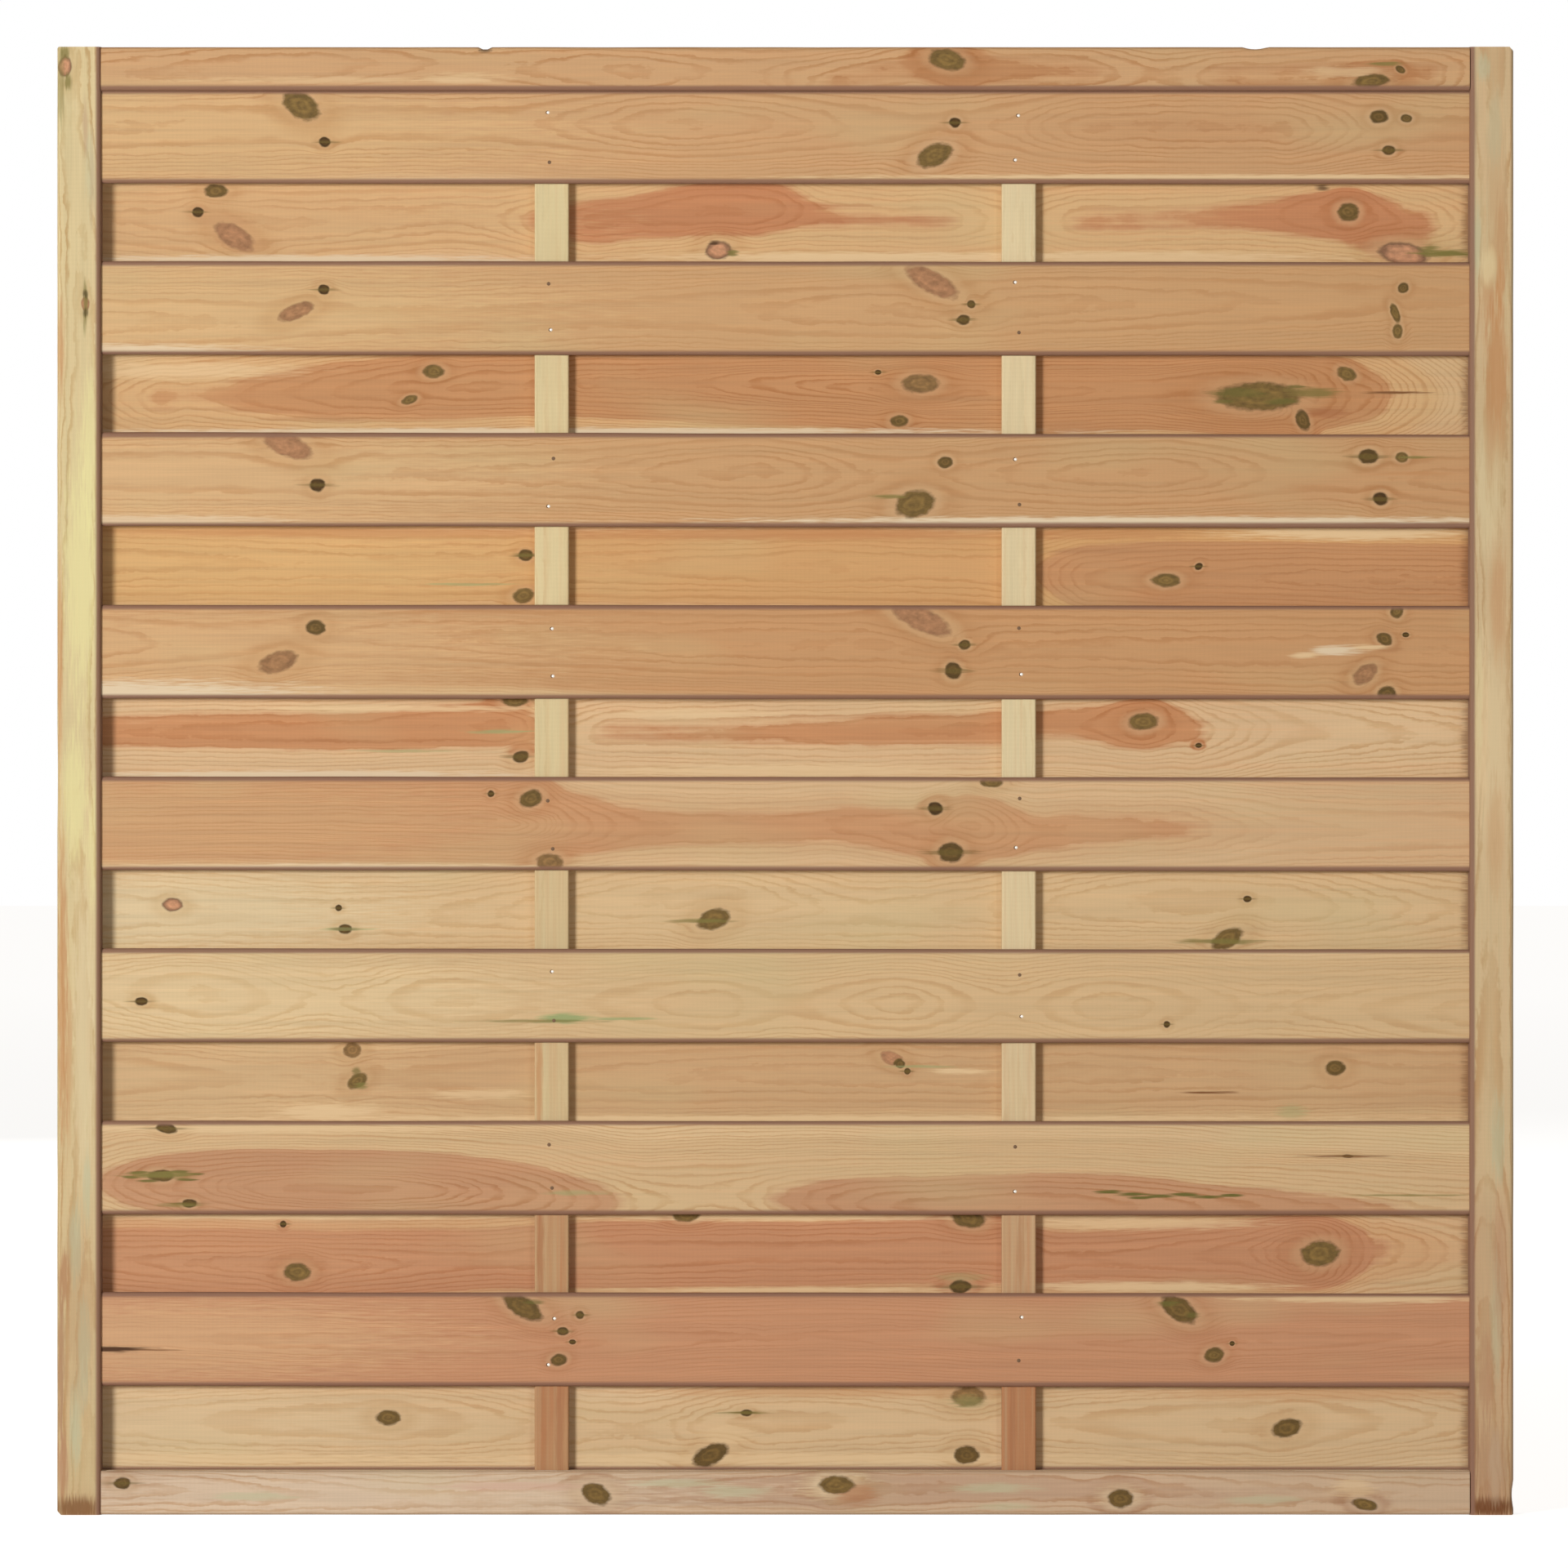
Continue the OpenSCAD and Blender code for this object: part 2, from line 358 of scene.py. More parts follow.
BACK = {
    1: Timber(
        Wood("#D2AC7C", "#D8B68A", "#BE8259"),
        pith=(Pith(0, 10, 60), Pith(250, 0, 56), Pith(480, 10, 58), Pith(560, 4, 54),
            *heart((642, -26, 29), (703, -22, 36), (770, -18, 48), (853, -16, 50), (898, -9, 44),
                (935, -4, 24), (1020, 2, 10), (1092, 7, 8)),
            Pith(1170, 6, 58),
            *heart((1253, 2, 3), (1350, -5, 12), (1433, -10, 19), (1500, -15, 28), (1560, -20, 38),
                (1610, -24, 35), (1650, -20, 20), (1686, -4, 4)),
            Pith(1740, 0, 60)),
        knots=(Knot(171, 14, 7, 6, 0, DARK), Knot(216, -16, 26, 13, -30, ROSY),
            Knot(193, 40, 14, 8, 0, 0.4), Knot(1585, 14, 13, 11, 0, 0.4), Knot(811, -33, 16, 11, 0, LOOSE),
            Knot(1653, -38, 30, 14, -10, LOOSE)),
        stains=(Stain(300, -44, 320, 6, CREAM, 0.9), Stain(980, -42, 290, 8, PALE, 0.9),
            Stain(1330, -42, 260, 9, PALE)),
        ground=(Stain(230, 0, 420, 60, "#CCA274"),),
        marks=(Stain(1706, -37, 44, 5, GREEN, 1), Stain(1684, -33, 16, 8, GREEN, 0.9),
            Stain(828, -36, 8, 5, GREEN, 0.9), Stain(806, -24, 8, 3, SOOT, 0.9),
            Stain(1553, 44, 10, 4, SOOT)),
        figure=0.4,
    ),
    2: Timber(
        Wood("#D0A878", "#D2AE82", "#BF8B5E"),
        pith=(Pith(0, 0, 70),
            *heart((110, -6, -4), (162, -10, 3), (226, -23, 19), (320, -29, 35), (403, -29, 46),
                (491, -31, 52), (586, -28, 55), (640, -29, 60), (800, -32, 60), (970, -40, 60),
                (1050, -50, 58)),
            Pith(1300, 4, 14), Pith(1480, 4, 18), Pith(1570, 2, 34), Pith(1640, 0, 52),
            Pith(1760, -2, 92)),
        knots=(Knot(461, 29, 13, 8, 0, OLIVE), Knot(431, -6, 10, 5, 20, OLIVE),
            Knot(1059, 14, 22, 11, 0, 0.6), Knot(1033, -32, 11, 7, 0, 0.4), Knot(1007, 28, 4, 3, 0, DARK),
            Knot(1476, -2, 50, 17, 0, OLIVE), Knot(1529, -31, 8, 13, 20, 0.3),
            Knot(1583, 26, 12, 8, -20, OLIVE)),
        stains=(Stain(620, -45, 660, 5, CREAM, 1), Stain(150, 30, 160, 12, PALE, 0.6),
            Stain(1560, -22, 30, 8, "#9C5F3C", 0.5)),
        marks=(Stain(1540, 3, 40, 7, "#7E6C38", 0.9), Stain(1450, 2, 40, 8, MOSS, 0.7),
            Stain(1500, -8, 24, 5, MOSS), Stain(1430, -8, 14, 3, MOSS), Stain(1520, 10, 14, 3, MOSS),
            Stain(1640, 3, 44, 2, RESIN, 1)),
    ),
    3: Timber(
        Wood("#D0A26C", "#DAB88C", "#BF8C60"),
        pith=(Pith(0, 5, 54), Pith(500, 0, 58, 0.14), Pith(900, 0, 53, 0.2), Pith(1190, -6, 52, 0.2),
            Pith(1260, -12, 34, 0.05), Pith(1500, -14, 26, 0.05), Pith(1740, -18, 24, 0.05)),
        knots=(Knot(574, 14, 9, 7, 0, 0.2), Knot(571, -36, 13, 9, 10, OLIVE),
            Knot(1361, -17, 17, 8, 0, OLIVE), Knot(1401, 0, 5, 4, 30, DARK)),
        stains=(Stain(900, 40, 330, 10, RUSSET, 0.6), Stain(350, 42, 330, 8, RUSSET, 0.5),
            Stain(1290, 40, 130, 9, RUSSET, 0.5), Stain(1590, 42, 170, 11, PALE, 0.9)),
        ground=(Stain(250, 0, 400, 70, "#D4AA72"),),
        marks=(Stain(500, -22, 60, 2, SAGE, 0.6), Stain(574, 14, 18, 2, GREEN)),
        figure=0.4,
    ),
    4: Timber(
        Wood("#D6B48A", "#D8B88E", "#C28A5E"),
        pith=(*heart((0, -14, 24), (69, -14, 26), (250, -16, 30), (400, -14, 36), (500, -12, 42),
                (560, -10, 42)),
            Pith(620, 6, 54),
            *heart((671, 5, 11), (740, 1, 15), (889, -7, 20), (1000, -11, 27), (1157, -9, 34),
                (1217, 0, 34), (1270, -6, 38), (1329, -15, 44), (1368, -9, 36), (1405, 3, 12)),
            Pith(1500, 10, 64), Pith(1740, 4, 74)),
        knots=(Knot(561, 46, 16, 7, 0, OLIVE), Knot(568, -23, 10, 7, 20, 0.2),
            Knot(1333, 20, 18, 10, 4, OLIVE), Knot(1401, -9, 4, 3, 0, DARK)),
        stains=(Stain(300, -45, 300, 6, CREAM, 0.9), Stain(430, 36, 200, 4, PALE, 0.7),
            Stain(900, -40, 260, 9, PALE, 0.7), Stain(780, 30, 120, 6, PALE, 0.6)),
        marks=(Stain(540, 8, 44, 3, SAGE, 0.7), Stain(420, -16, 70, 2, SAGE, 0.5)),
        figure=0.55,
        pale_r=68,
    ),
    5: Timber(
        Wood("#D2B387", "#D6BC93", "#C8A478"),
        pith=(Pith(0, 0, 76), Pith(400, -10, 80), Pith(800, 14, 70), Pith(1000, 0, 78), Pith(1420, 10, 66),
            Pith(1740, 0, 80)),
        knots=(Knot(140, 6, 12, 8, 0, LOOSE), Knot(344, 2, 4, 4, 0, DARK), Knot(352, -24, 8, 6, 0, 0.2),
            Knot(805, -12, 20, 12, 18, OLIVE), Knot(1461, 13, 5, 4, 0, DARK),
            Knot(1436, -36, 20, 11, 28, OLIVE)),
        ground=(Stain(120, 0, 340, 60, "#DAC69E", 0.7), Stain(840, 0, 280, 60, "#D6B88C", 0.6)),
        marks=(Stain(790, -14, 44, 3, GREEN), Stain(1430, -39, 60, 4, GREEN),
            Stain(352, -24, 36, 2, SAGE, 0.7)),
        figure=0.4,
        pale_r=96,
    ),
    6: Timber(
        Wood("#C6A075", "#D0AE82", "#BA8C66"),
        pith=(Pith(0, 8, 62), Pith(300, 0, 68), Pith(700, 6, 60), Pith(1200, 8, 58), Pith(1740, 10, 62)),
        knots=(Knot(361, 38, 11, 9, 0, 0.6), Knot(367, 0, 13, 8, 30, OLIVE),
            Knot(1024, 28, 14, 8, -20, 0.9), Knot(1034, 21, 6, 5, 0, 0.3), Knot(1043, 12, 4, 4, 0, 0.2),
            Knot(1569, 16, 12, 9, 0, 0.35)),
        stains=(Stain(900, -46, 900, 4, PALE), Stain(330, -38, 70, 12, PALE),
            Stain(520, -16, 70, 7, PALE, 0.6), Stain(1110, 12, 40, 4, PALE)),
        ground=(Stain(150, 0, 300, 60, "#CFB084", 0.6),),
        marks=(Stain(366, 12, 6, 6, MOSS, 0.7), Stain(372, -6, 10, 5, GREEN),
            Stain(1060, 18, 50, 2, SAGE, 0.6), Stain(1414, -14, 36, 2, RESIN, 1),
            Stain(1516, -38, 22, 10, SAGE, 0.4)),
        figure=0.4,
        pale_r=76,
    ),
    7: Timber(
        Wood("#CCA276", "#D0AE84", "#BE8863"),
        pith=(Pith(0, -6, 32), Pith(293, -18, 24), Pith(500, -10, 32), Pith(640, -2, 30), Pith(900, -2, 32),
            Pith(1150, 0, 30),
            *heart((1221, -44, 26), (1350, -42, 30), (1450, -42, 38), (1520, -44, 46), (1570, -36, 36),
                (1610, -16, 18), (1635, 0, 4)),
            Pith(1740, 0, 62)),
        knots=(Knot(276, 35, 4, 4, 0, DARK), Knot(293, -24, 16, 11, 0, OLIVE),
            Knot(771, 46, 16, 8, 0, OLIVE), Knot(1118, 42, 20, 11, -10, 0.4),
            Knot(1108, -42, 13, 8, 0, 0.2), Knot(1550, -1, 23, 15, 6, OLIVE)),
        stains=(Stain(300, 45, 300, 5, PALE), Stain(880, 44, 260, 6, PALE),
            Stain(900, -46, 240, 4, PALE, 0.7), Stain(1330, 36, 170, 9, PALE, 0.6),
            Stain(1330, -42, 190, 7, PALE)),
        ground=(Stain(200, 0, 330, 60, "#C8966E", 0.4),),
        marks=(Stain(1108, -30, 40, 6, SAGE, 0.3),),
        figure=0.5,
        pale_r=62,
    ),
    8: Timber(
        Wood("#D0B289", "#D6BA92", "#C49E74"),
        pith=(Pith(0, 0, 72), Pith(405, 4, 64), Pith(700, -6, 76), Pith(850, 0, 66), Pith(1100, 0, 70),
            Pith(1500, 0, 62), Pith(1740, 4, 74)),
        knots=(Knot(405, 8, 15, 9, 0, 0.4), Knot(845, 14, 7, 4, 0, 0.1), Knot(801, -38, 23, 12, 24, 0.3),
            Knot(1118, 34, 20, 12, 0, 0.6), Knot(1116, -38, 15, 11, 0, 0.3),
            Knot(1509, -5, 18, 11, 14, 0.35)),
        # The first two make the top edge darker along the middle and right
        stains=(Stain(960, 40, 300, 9, BROWN, 0.4), Stain(1560, 38, 260, 12, BROWN, 0.4),
            Stain(900, -42, 560, 8, PALE, 0.6), Stain(200, -42, 300, 7, PALE, 0.6),
            Stain(820, -14, 40, 14, PALE, 0.5)),
        ground=(Stain(100, 0, 380, 60, "#D8BE96", 0.6),),
        marks=(Stain(845, 14, 40, 2, GREEN, 0.7), Stain(1118, 28, 24, 9, "#8A8450", 0.6)),
        figure=0.5,
        pale_r=84,
    ),
}

RAILS = {
    "top_rail": Timber(
        Wood("#C89E72", "#D0AC80", "#BA865A"),
        pith=(Pith(0, -8, 58), Pith(300, 2, 54), Pith(500, 6, 60), Pith(700, -4, 56), Pith(850, -8, 60),
            *heart((941, -18, -17), (1000, -14, -2), (1060, -10, 10), (1100, -20, 16), (1150, -18, 12),
                (1200, -14, 8), (1274, -4, -3)),
            Pith(1350, -6, 56),
            *heart((1424, -10, -9), (1500, -14, -2), (1583, -16, 8), (1620, -18, 12), (1660, -14, 4),
                (1690, -6, -5)),
            Pith(1740, 0, 58)),
        knots=(Knot(1091, 11, 22, 12, -12, OLIVE), Knot(1611, -15, 22, 8, 6, 0.45),
            Knot(1647, -1, 6, 4, -30, 0.3)),
        stains=(Stain(500, -12, 60, 8, PALE, 0.5), Stain(300, -14, 200, 5, PALE, 0.4),
            Stain(1580, -4, 60, 8, PALE, 0.5)),
        marks=(Stain(1630, 6, 26, 3, GREEN), Stain(525, 24, 10, 5, "#5A4430")),
        figure=0.7,
        shaded_edges=(True, False),
        dents=(Dent(525, 8, 3), Dent(1469, 15, 2.6)),
    ),
    "bottom_rail": Timber(
        Wood("#C6AA8C", "#D2BCA0", "#BA9A7E"),
        pith=(Pith(0, 4, 44), Pith(500, -6, 52), Pith(1000, 6, 46), Pith(1740, -6, 54)),
        knots=(Knot(80, 12, 10, 7, 0, 0.2), Knot(661, -1, 18, 12, -22, 0.4), Knot(956, 10, 21, 11, 0, 0.45),
            Knot(1304, -7, 15, 11, 0, 0.35), Knot(1603, -14, 15, 7, -10, 0.4)),
        stains=(Stain(240, -4, 60, 6, MINT, 0.6), Stain(760, 12, 60, 6, MINT, 0.6),
            Stain(830, 2, 50, 8, MINT, 0.6), Stain(1150, 6, 60, 7, MINT, 0.6),
            Stain(1480, -8, 50, 6, MINT, 0.5), Stain(1160, -16, 40, 5, MINT, 0.5),
            Stain(980, -2, 30, 16, "#A8714C", 0.7), Stain(1590, 6, 30, 14, PALE, 0.5),
            Stain(560, 8, 110, 6, "#C9A08C", 0.5)),
        ground=(Stain(350, 0, 520, 40, "#D4BEA4"), Stain(956, 8, 46, 20, "#DCC8A6", 0.9),
            Stain(661, 0, 40, 20, "#D4BC9C", 0.6), Stain(1304, -6, 34, 18, "#D6C0A0", 0.7)),
        shaded_edges=(False, False),
    ),
}

STILES = {
    "left_stile": Timber(
        Wood("#D3BF91", "#DAC79A", "#BE9C74"),
        pith=(Pith(0, 20, 56, 0.9), Pith(40, 16, 58, 0.5), Pith(300, 10, 62, 0.35), Pith(520, 10, 66, 0.1),
            Pith(900, -6, 68), Pith(1400, 8, 70), Pith(1800, -10, 74)),
        knots=(Knot(1776, -17, 13, 8, 0, LOOSE), Knot(1485, 8, 9, 5, 0, 0.9)),
        stains=(Stain(580, 6, 210, 16, "#DCCAA4", 0.5), Stain(1150, 4, 170, 26, LEMON, 0.6),
            Stain(1300, 14, 120, 14, LEMON, 0.5), Stain(880, -6, 90, 18, LEMON, 0.6),
            Stain(820, 20, 90, 12, LEMON, 0.5), Stain(1700, 8, 40, 4, "#B99A78", 0.7),
            Stain(1640, 16, 60, 3, "#B99A78", 0.6), Stain(640, -20, 230, 7, BROWN, 0.7),
            Stain(560, -12, 120, 5, BROWN, 0.5), Stain(1430, -22, 70, 5, BROWN, 0.6),
            Stain(1050, -23, 150, 4, BROWN, 0.6), Stain(330, -4, 60, 9, MINT), Stain(200, 6, 80, 9, MINT),
            Stain(110, -4, 60, 8, MINT, 0.7), Stain(400, 10, 50, 6, MINT, 0.6),
            Stain(1650, 14, 60, 7, MINT, 0.4), Stain(290, -18, 40, 8, "#A8744E", 0.7),
            Stain(180, -22, 120, 5, "#A67E5C"), Stain(60, -20, 50, 8, "#AE8060", 0.7),
            Stain(8, 0, 16, 40, "#7E5632", 0.9), Stain(250, 0, 130, 24, "#B08A64", 0.4)),
        marks=(Stain(1755, -22, 60, 5, GREEN, 0.5), Stain(1793, -17, 10, 6, GREEN),
            Stain(1757, -14, 12, 6, GREEN), Stain(1483, 8, 34, 3, GREEN), Stain(1497, 8, 6, 4, "#4A3A18"),
            Stain(1474, 8, 7, 4, "#4A3A18")),
        figure=0.75,
        pale_r=80,
        shaded_edges=(False, True),
        clipped=(5.0, 2.0),
        dents=(Dent(900, 60, 0.6),),
    ),
    "right_stile": Timber(
        Wood("#D0B68C", "#D6C094", "#BC9470"),
        pith=(Pith(0, -10, 52, 0.9), Pith(60, -8, 54, 0.6), Pith(350, -6, 58, 0.5), Pith(430, -6, 64, 0.1),
            Pith(1000, 6, 70, 0.05), Pith(1350, 8, 66, 0.25), Pith(1600, 4, 70), Pith(1800, 0, 66, 0.2)),
        stains=(Stain(945, 0, 170, 24, "#DCC69C", 0.6), Stain(1620, 6, 150, 14, "#C09C72", 0.6),
            Stain(1400, 6, 120, 16, BROWN, 0.7), Stain(1500, -4, 60, 10, BROWN, 0.5),
            Stain(1120, 8, 90, 12, BROWN, 0.5), Stain(830, 4, 80, 12, BROWN, 0.4),
            Stain(960, -12, 120, 10, PALE, 0.6), Stain(1250, -4, 90, 20, "#D8C69C", 0.6),
            Stain(460, 8, 60, 10, MINT, 0.6), Stain(240, 6, 90, 8, MINT, 0.5),
            Stain(1775, -10, 20, 10, MINT, 0.6), Stain(1560, -18, 60, 6, MINT, 0.6),
            Stain(170, -6, 60, 12, "#AC7E5C", 0.5), Stain(10, 0, 14, 40, "#6E4220", 1),
            Stain(100, -22, 90, 6, "#A37C58", 0.7), Stain(1560, 12, 70, 10, "#B98A5C", 0.5),
            Stain(1340, -2, 100, 8, "#B98A5C", 0.5), Stain(1720, -20, 60, 4, "#B49A78", 0.6),
            Stain(300, 10, 100, 10, "#B0805E", 0.4), Stain(60, 4, 50, 10, "#D2BC9C", 0.6),
            Stain(1000, -16, 100, 6, "#D8C898", 0.5), Stain(60, 0, 60, 30, "#9A6E50", 0.4),
            Stain(1530, -4, 26, 12, "#E0CFA0", 0.6), Stain(1500, 10, 50, 6, "#C08A58", 0.6),
            Stain(1700, 4, 60, 10, MINT, 0.4)),
        figure=0.75,
        pale_r=80,
        shaded_edges=(True, False),
        clipped=(1.5, 5.0),
        dents=(Dent(25, 16, 2),),
    ),
}

BATTENS = {
    "left_batten": Timber(
        Wood("#D8C597", "#D9C599", "#B07C55"),
        pith=(Pith(0, 10, 64, 1), Pith(200, 8, 64, 0.95), Pith(250, 8, 66, 0.78), Pith(400, 8, 66, 0.72),
            Pith(460, 6, 66, 0.3), Pith(600, 6, 68, 0.36), Pith(680, 6, 68, 0.3), Pith(830, 6, 70, 0.25),
            Pith(900, 6, 70, 0.12), Pith(1060, 4, 70), Pith(1800, 0, 72)),
        stains=(Stain(530, -15, 90, 5, BROWN, 0.6), Stain(320, -14, 80, 5, "#A5704A", 0.7),
            Stain(100, 10, 90, 6, "#A06B48", 0.6)),
        figure=0.2,
        pale_r=82,
        shaded_edges=(False, False),
    ),
    "right_batten": Timber(
        Wood("#DDCAA0", "#DFCCA2", "#B07C55"),
        pith=(Pith(0, -8, 64, 1), Pith(200, -8, 64, 0.95), Pith(250, -8, 66, 0.7), Pith(400, -6, 66, 0.62),
            Pith(460, -6, 66, 0.32), Pith(600, -6, 68, 0.24), Pith(680, -6, 68, 0.1),
            Pith(830, -6, 70, 0.06), Pith(900, -6, 70), Pith(1800, 0, 72)),
        stains=(Stain(100, -8, 90, 5, "#A06B48", 0.6), Stain(320, 2, 80, 5, "#A97650", 0.5)),
        figure=0.2,
        pale_r=82,
        shaded_edges=(False, False),
    ),
}


# Settings that a user would change


class FenceFinish(bpy.types.PropertyGroup):
    """Finish of the timber."""

    ring_gap: FloatProperty(
        name="Ring Gap", description="Mean width of a growth ring, in millimetres", default=3.4, min=1)
    latewood: FloatProperty(
        name="Latewood", description="Strength of the dark line that ends each ring", default=0.9,
        min=0, max=1, subtype="FACTOR")
    late_tint: FloatVectorProperty(
        name="Latewood Tint", description="Colour that the latewood multiplies the wood by",
        default=linear("#D8B890"), size=3, min=0, max=1, subtype="COLOR")
    # Colour of the painted shade along the round edges of boards, stiles and rails
    edge_shade: FloatVectorProperty(
        name="Arris", description="Colour of the painted shade on the machined round edges",
        default=linear("#86624F"), size=3, min=0, max=1, subtype="COLOR")
    tinge: FloatVectorProperty(
        name="Copper Tinge", description="Pale green that the copper treatment leaves in sapwood",
        default=linear("#C3BC8C"), size=3, min=0, max=1, subtype="COLOR")
    steel: FloatVectorProperty(
        name="Nail Steel", description="Colour of the galvanised nail heads",
        default=linear("#D0C8BC"), size=3, min=0, max=1, subtype="COLOR")


class FenceShape(bpy.types.PropertyGroup):
    """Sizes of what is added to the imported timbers."""

    arris_r: FloatProperty(
        name="Arris Radius", description="Radius of the frame's rounded long edges, in millimetres",
        default=5.0, min=0.5, max=6)
    batten_r: FloatProperty(
        name="Batten Edge Radius", description="Radius of a batten's long edges, in millimetres",
        default=2.0, min=0.2, max=6)
    waviness: FloatProperty(
        name="Waviness", description="How far a board's edge wanders from straight, in millimetres",
        default=0.5, min=0, max=3)
    nail_r: FloatProperty(
        name="Nail Head Radius", description="Radius of a nail head, in millimetres", default=2.0, min=0.5)
    nail_spread: FloatProperty(
        name="Nail Spread", description="Millimetres from a nail to its board's centre line",
        default=29.0, min=5)


class FenceStage(bpy.types.PropertyGroup):
    """Light and camera."""

    key_turn: FloatProperty(
        name="Key Turn", description="How far round to the left the main light stands",
        default=math.radians(32), subtype="ANGLE", unit="ROTATION")
    key_rise: FloatProperty(
        name="Key Rise", description="How high above level the main light stands",
        default=math.radians(6), subtype="ANGLE", unit="ROTATION")
    distance: FloatProperty(
        name="Camera Distance", description="Distance from the camera to the panel's front",
        default=12.0, unit="LENGTH")


# Meshes

BOARD_LOW, BOARD_HIGH = corners_mm("back_board_1")
STILE_INNER = corners_mm("left_stile")[1].x
BOARD_T = BOARD_HIGH.y - BOARD_LOW.y
# Play on each side of a board in its groove, and the gap past its end
GROOVE_PLAY = 0.3
END_GAP = 1.0
# The two grooves of the frame stock
GROOVE_W = BOARD_T + 2 * GROOVE_PLAY
GROOVE_MID = (BOARD_LOW.y + BOARD_HIGH.y) / 2
GROOVE_DEPTH = STILE_INNER - BOARD_LOW.x + END_GAP
# How far a tenon runs into the rail that it grows from
TENON_ROOT = 1
# A full round is cut this much short, so that its two halves don't meet
ROUND_SHORT = 0.02
# Steps round a machined edge and round a batten's eased one
ROUND_STEPS = 7
EASED_STEPS = 4
# Distance from a round edge to the loop that keeps the face beside it flat
ROUND_LOOP = 0.8
EASED_LOOP = 0.6
# Cuts along a board or batten and along the frame stock, so that they can wander and wear
BOARD_CUTS = 60
STOCK_CUTS = 300
# Wavelengths of the wander in a board's edges and in its face, and how far its face strays
EDGE_WAVE = 170
FACE_WAVE = 260
FACE_DRIFT = 0.25
# Mean wear of a frame timber's outer edge, and how far apart its hollows lie along and across
WEAR = 0.25
WEAR_ALONG = 90
WEAR_ACROSS = 20
# An edge that turns by more than this is shaded sharp
SHARP = math.radians(38)


class Lie(NamedTuple):
    """How a timber lies: the world axes along it and across its face."""

    along: Vector
    across: Vector

    def point(self, along, across, depth):
        """The place in the panel at these distances along, across and into the timber."""
        return self.along * along + self.across * across + Vector((0, depth, 0))


LEVEL = Lie(Vector((1, 0, 0)), Vector((0, 0, 1)))
UPRIGHT = Lie(Vector((0, 0, 1)), Vector((1, 0, 0)))


def prism(mesh, lie, outline, start, end):
    """Extrude an outline of (across, depth) points from start to end along a timber."""
    ring = [mesh.verts.new(lie.point(start, across, depth)) for across, depth in outline]
    face = mesh.faces.new(ring)
    grown = bmesh.ops.extrude_face_region(mesh, geom=[face])["geom"]
    moved = [item for item in grown if isinstance(item, bmesh.types.BMVert)]
    bmesh.ops.translate(mesh, verts=moved, vec=lie.along * (end - start))
    bmesh.ops.recalc_face_normals(mesh, faces=mesh.faces)


def long_edges(mesh, lie):
    """Edges that run the whole way along a timber."""
    def run(edge):
        return (edge.verts[1].co - edge.verts[0].co).normalized().dot(lie.along)

    return [edge for edge in mesh.edges if abs(run(edge)) > 0.99]


def round_edges(mesh, lie, corners, radius, segments):
    """Round the long edges that pass through these (across, depth) corners."""
    def is_corner(edge):
        co = edge.verts[0].co
        here = Vector((co.dot(lie.across), co.y))
        return any((here - Vector(corner)).length < 0.01 for corner in corners)

    chosen = [edge for edge in long_edges(mesh, lie) if is_corner(edge)]
    bmesh.ops.bevel(
        mesh, geom=chosen, offset=radius, offset_type="OFFSET", segments=segments, profile=0.5,
        affect="EDGES", clamp_overlap=True, material=-1)


def cut_across(mesh, normal, at):
    """Add a loop of edges where the plane at this distance meets the mesh."""
    everything = mesh.verts[:] + mesh.edges[:] + mesh.faces[:]
    bmesh.ops.bisect_plane(mesh, geom=everything, dist=0.001, plane_co=normal * at, plane_no=normal)


def clip_corner(mesh, lie, corner, outward, onward, size):
    """Cut one worn corner off a timber's end, across its whole depth."""
    normal = (lie.across * outward + lie.along * onward).normalized()
    everything = mesh.verts[:] + mesh.edges[:] + mesh.faces[:]
    inside = corner - normal * size * math.sqrt(0.5)
    bmesh.ops.bisect_plane(
        mesh, geom=everything, dist=0.001, plane_co=inside, plane_no=normal, clear_outer=True)
    bmesh.ops.holes_fill(mesh, edges=[edge for edge in mesh.edges if edge.is_boundary])


def wander(seed, along, size, wavelength):
    """Smooth sideways drift at this place, up to about size either way."""
    return size * noise.noise(Vector((along / wavelength, seed * 7.3, 0.5)))


def finish_mesh(mesh, name, material, node=None):
    """Turn a millimetre bmesh into an object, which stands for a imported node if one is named."""
    bmesh.ops.recalc_face_normals(mesh, faces=mesh.faces)
    bmesh.ops.scale(mesh, vec=(1 / MM, 1 / MM, 1 / MM), verts=mesh.verts)
    data = bpy.data.meshes.new(name)
    mesh.to_mesh(data)
    mesh.free()
    data.shade_smooth()
    data.set_sharp_from_angle(angle=SHARP)
    data.materials.append(material)
    piece = bpy.data.objects.new(name, data)
    bpy.context.collection.objects.link(piece)
    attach(piece, "root")
    if node:
        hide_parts(node)


def board_piece(node, timber):
    """A thin board with full round long edges, which wanders and tilts a little."""
    low, high = corners_mm(node)
    radius = (high.y - low.y) / 2
    seed = sum(map(ord, node))
    mesh = bmesh.new()
    outline = [(low.z, low.y), (high.z, low.y), (high.z, high.y), (low.z, high.y)]
    prism(mesh, LEVEL, outline, low.x, high.x)
    round_edges(mesh, LEVEL, outline, radius - ROUND_SHORT, ROUND_STEPS)
    inset = radius + ROUND_LOOP
    for height in (low.z + inset, high.z - inset):
        cut_across(mesh, LEVEL.across, height)
    bmesh.ops.subdivide_edges(mesh, edges=long_edges(mesh, LEVEL), cuts=BOARD_CUTS)
    waviness = bpy.context.scene.fence_shape.waviness
    left, right = timber.tilt
    for vert in mesh.verts:
        share = (vert.co.x - low.x) / (high.x - low.x)
        is_upper = vert.co.z > (low.z + high.z) / 2
        vert.co.z += left + (right - left) * share
        vert.co.z += wander(seed + is_upper, vert.co.x, waviness, EDGE_WAVE)
        vert.co.y += wander(seed + 50, vert.co.x, FACE_DRIFT, FACE_WAVE)
    finish_mesh(mesh, node + "_timber", pine(node, timber, LEVEL), node)


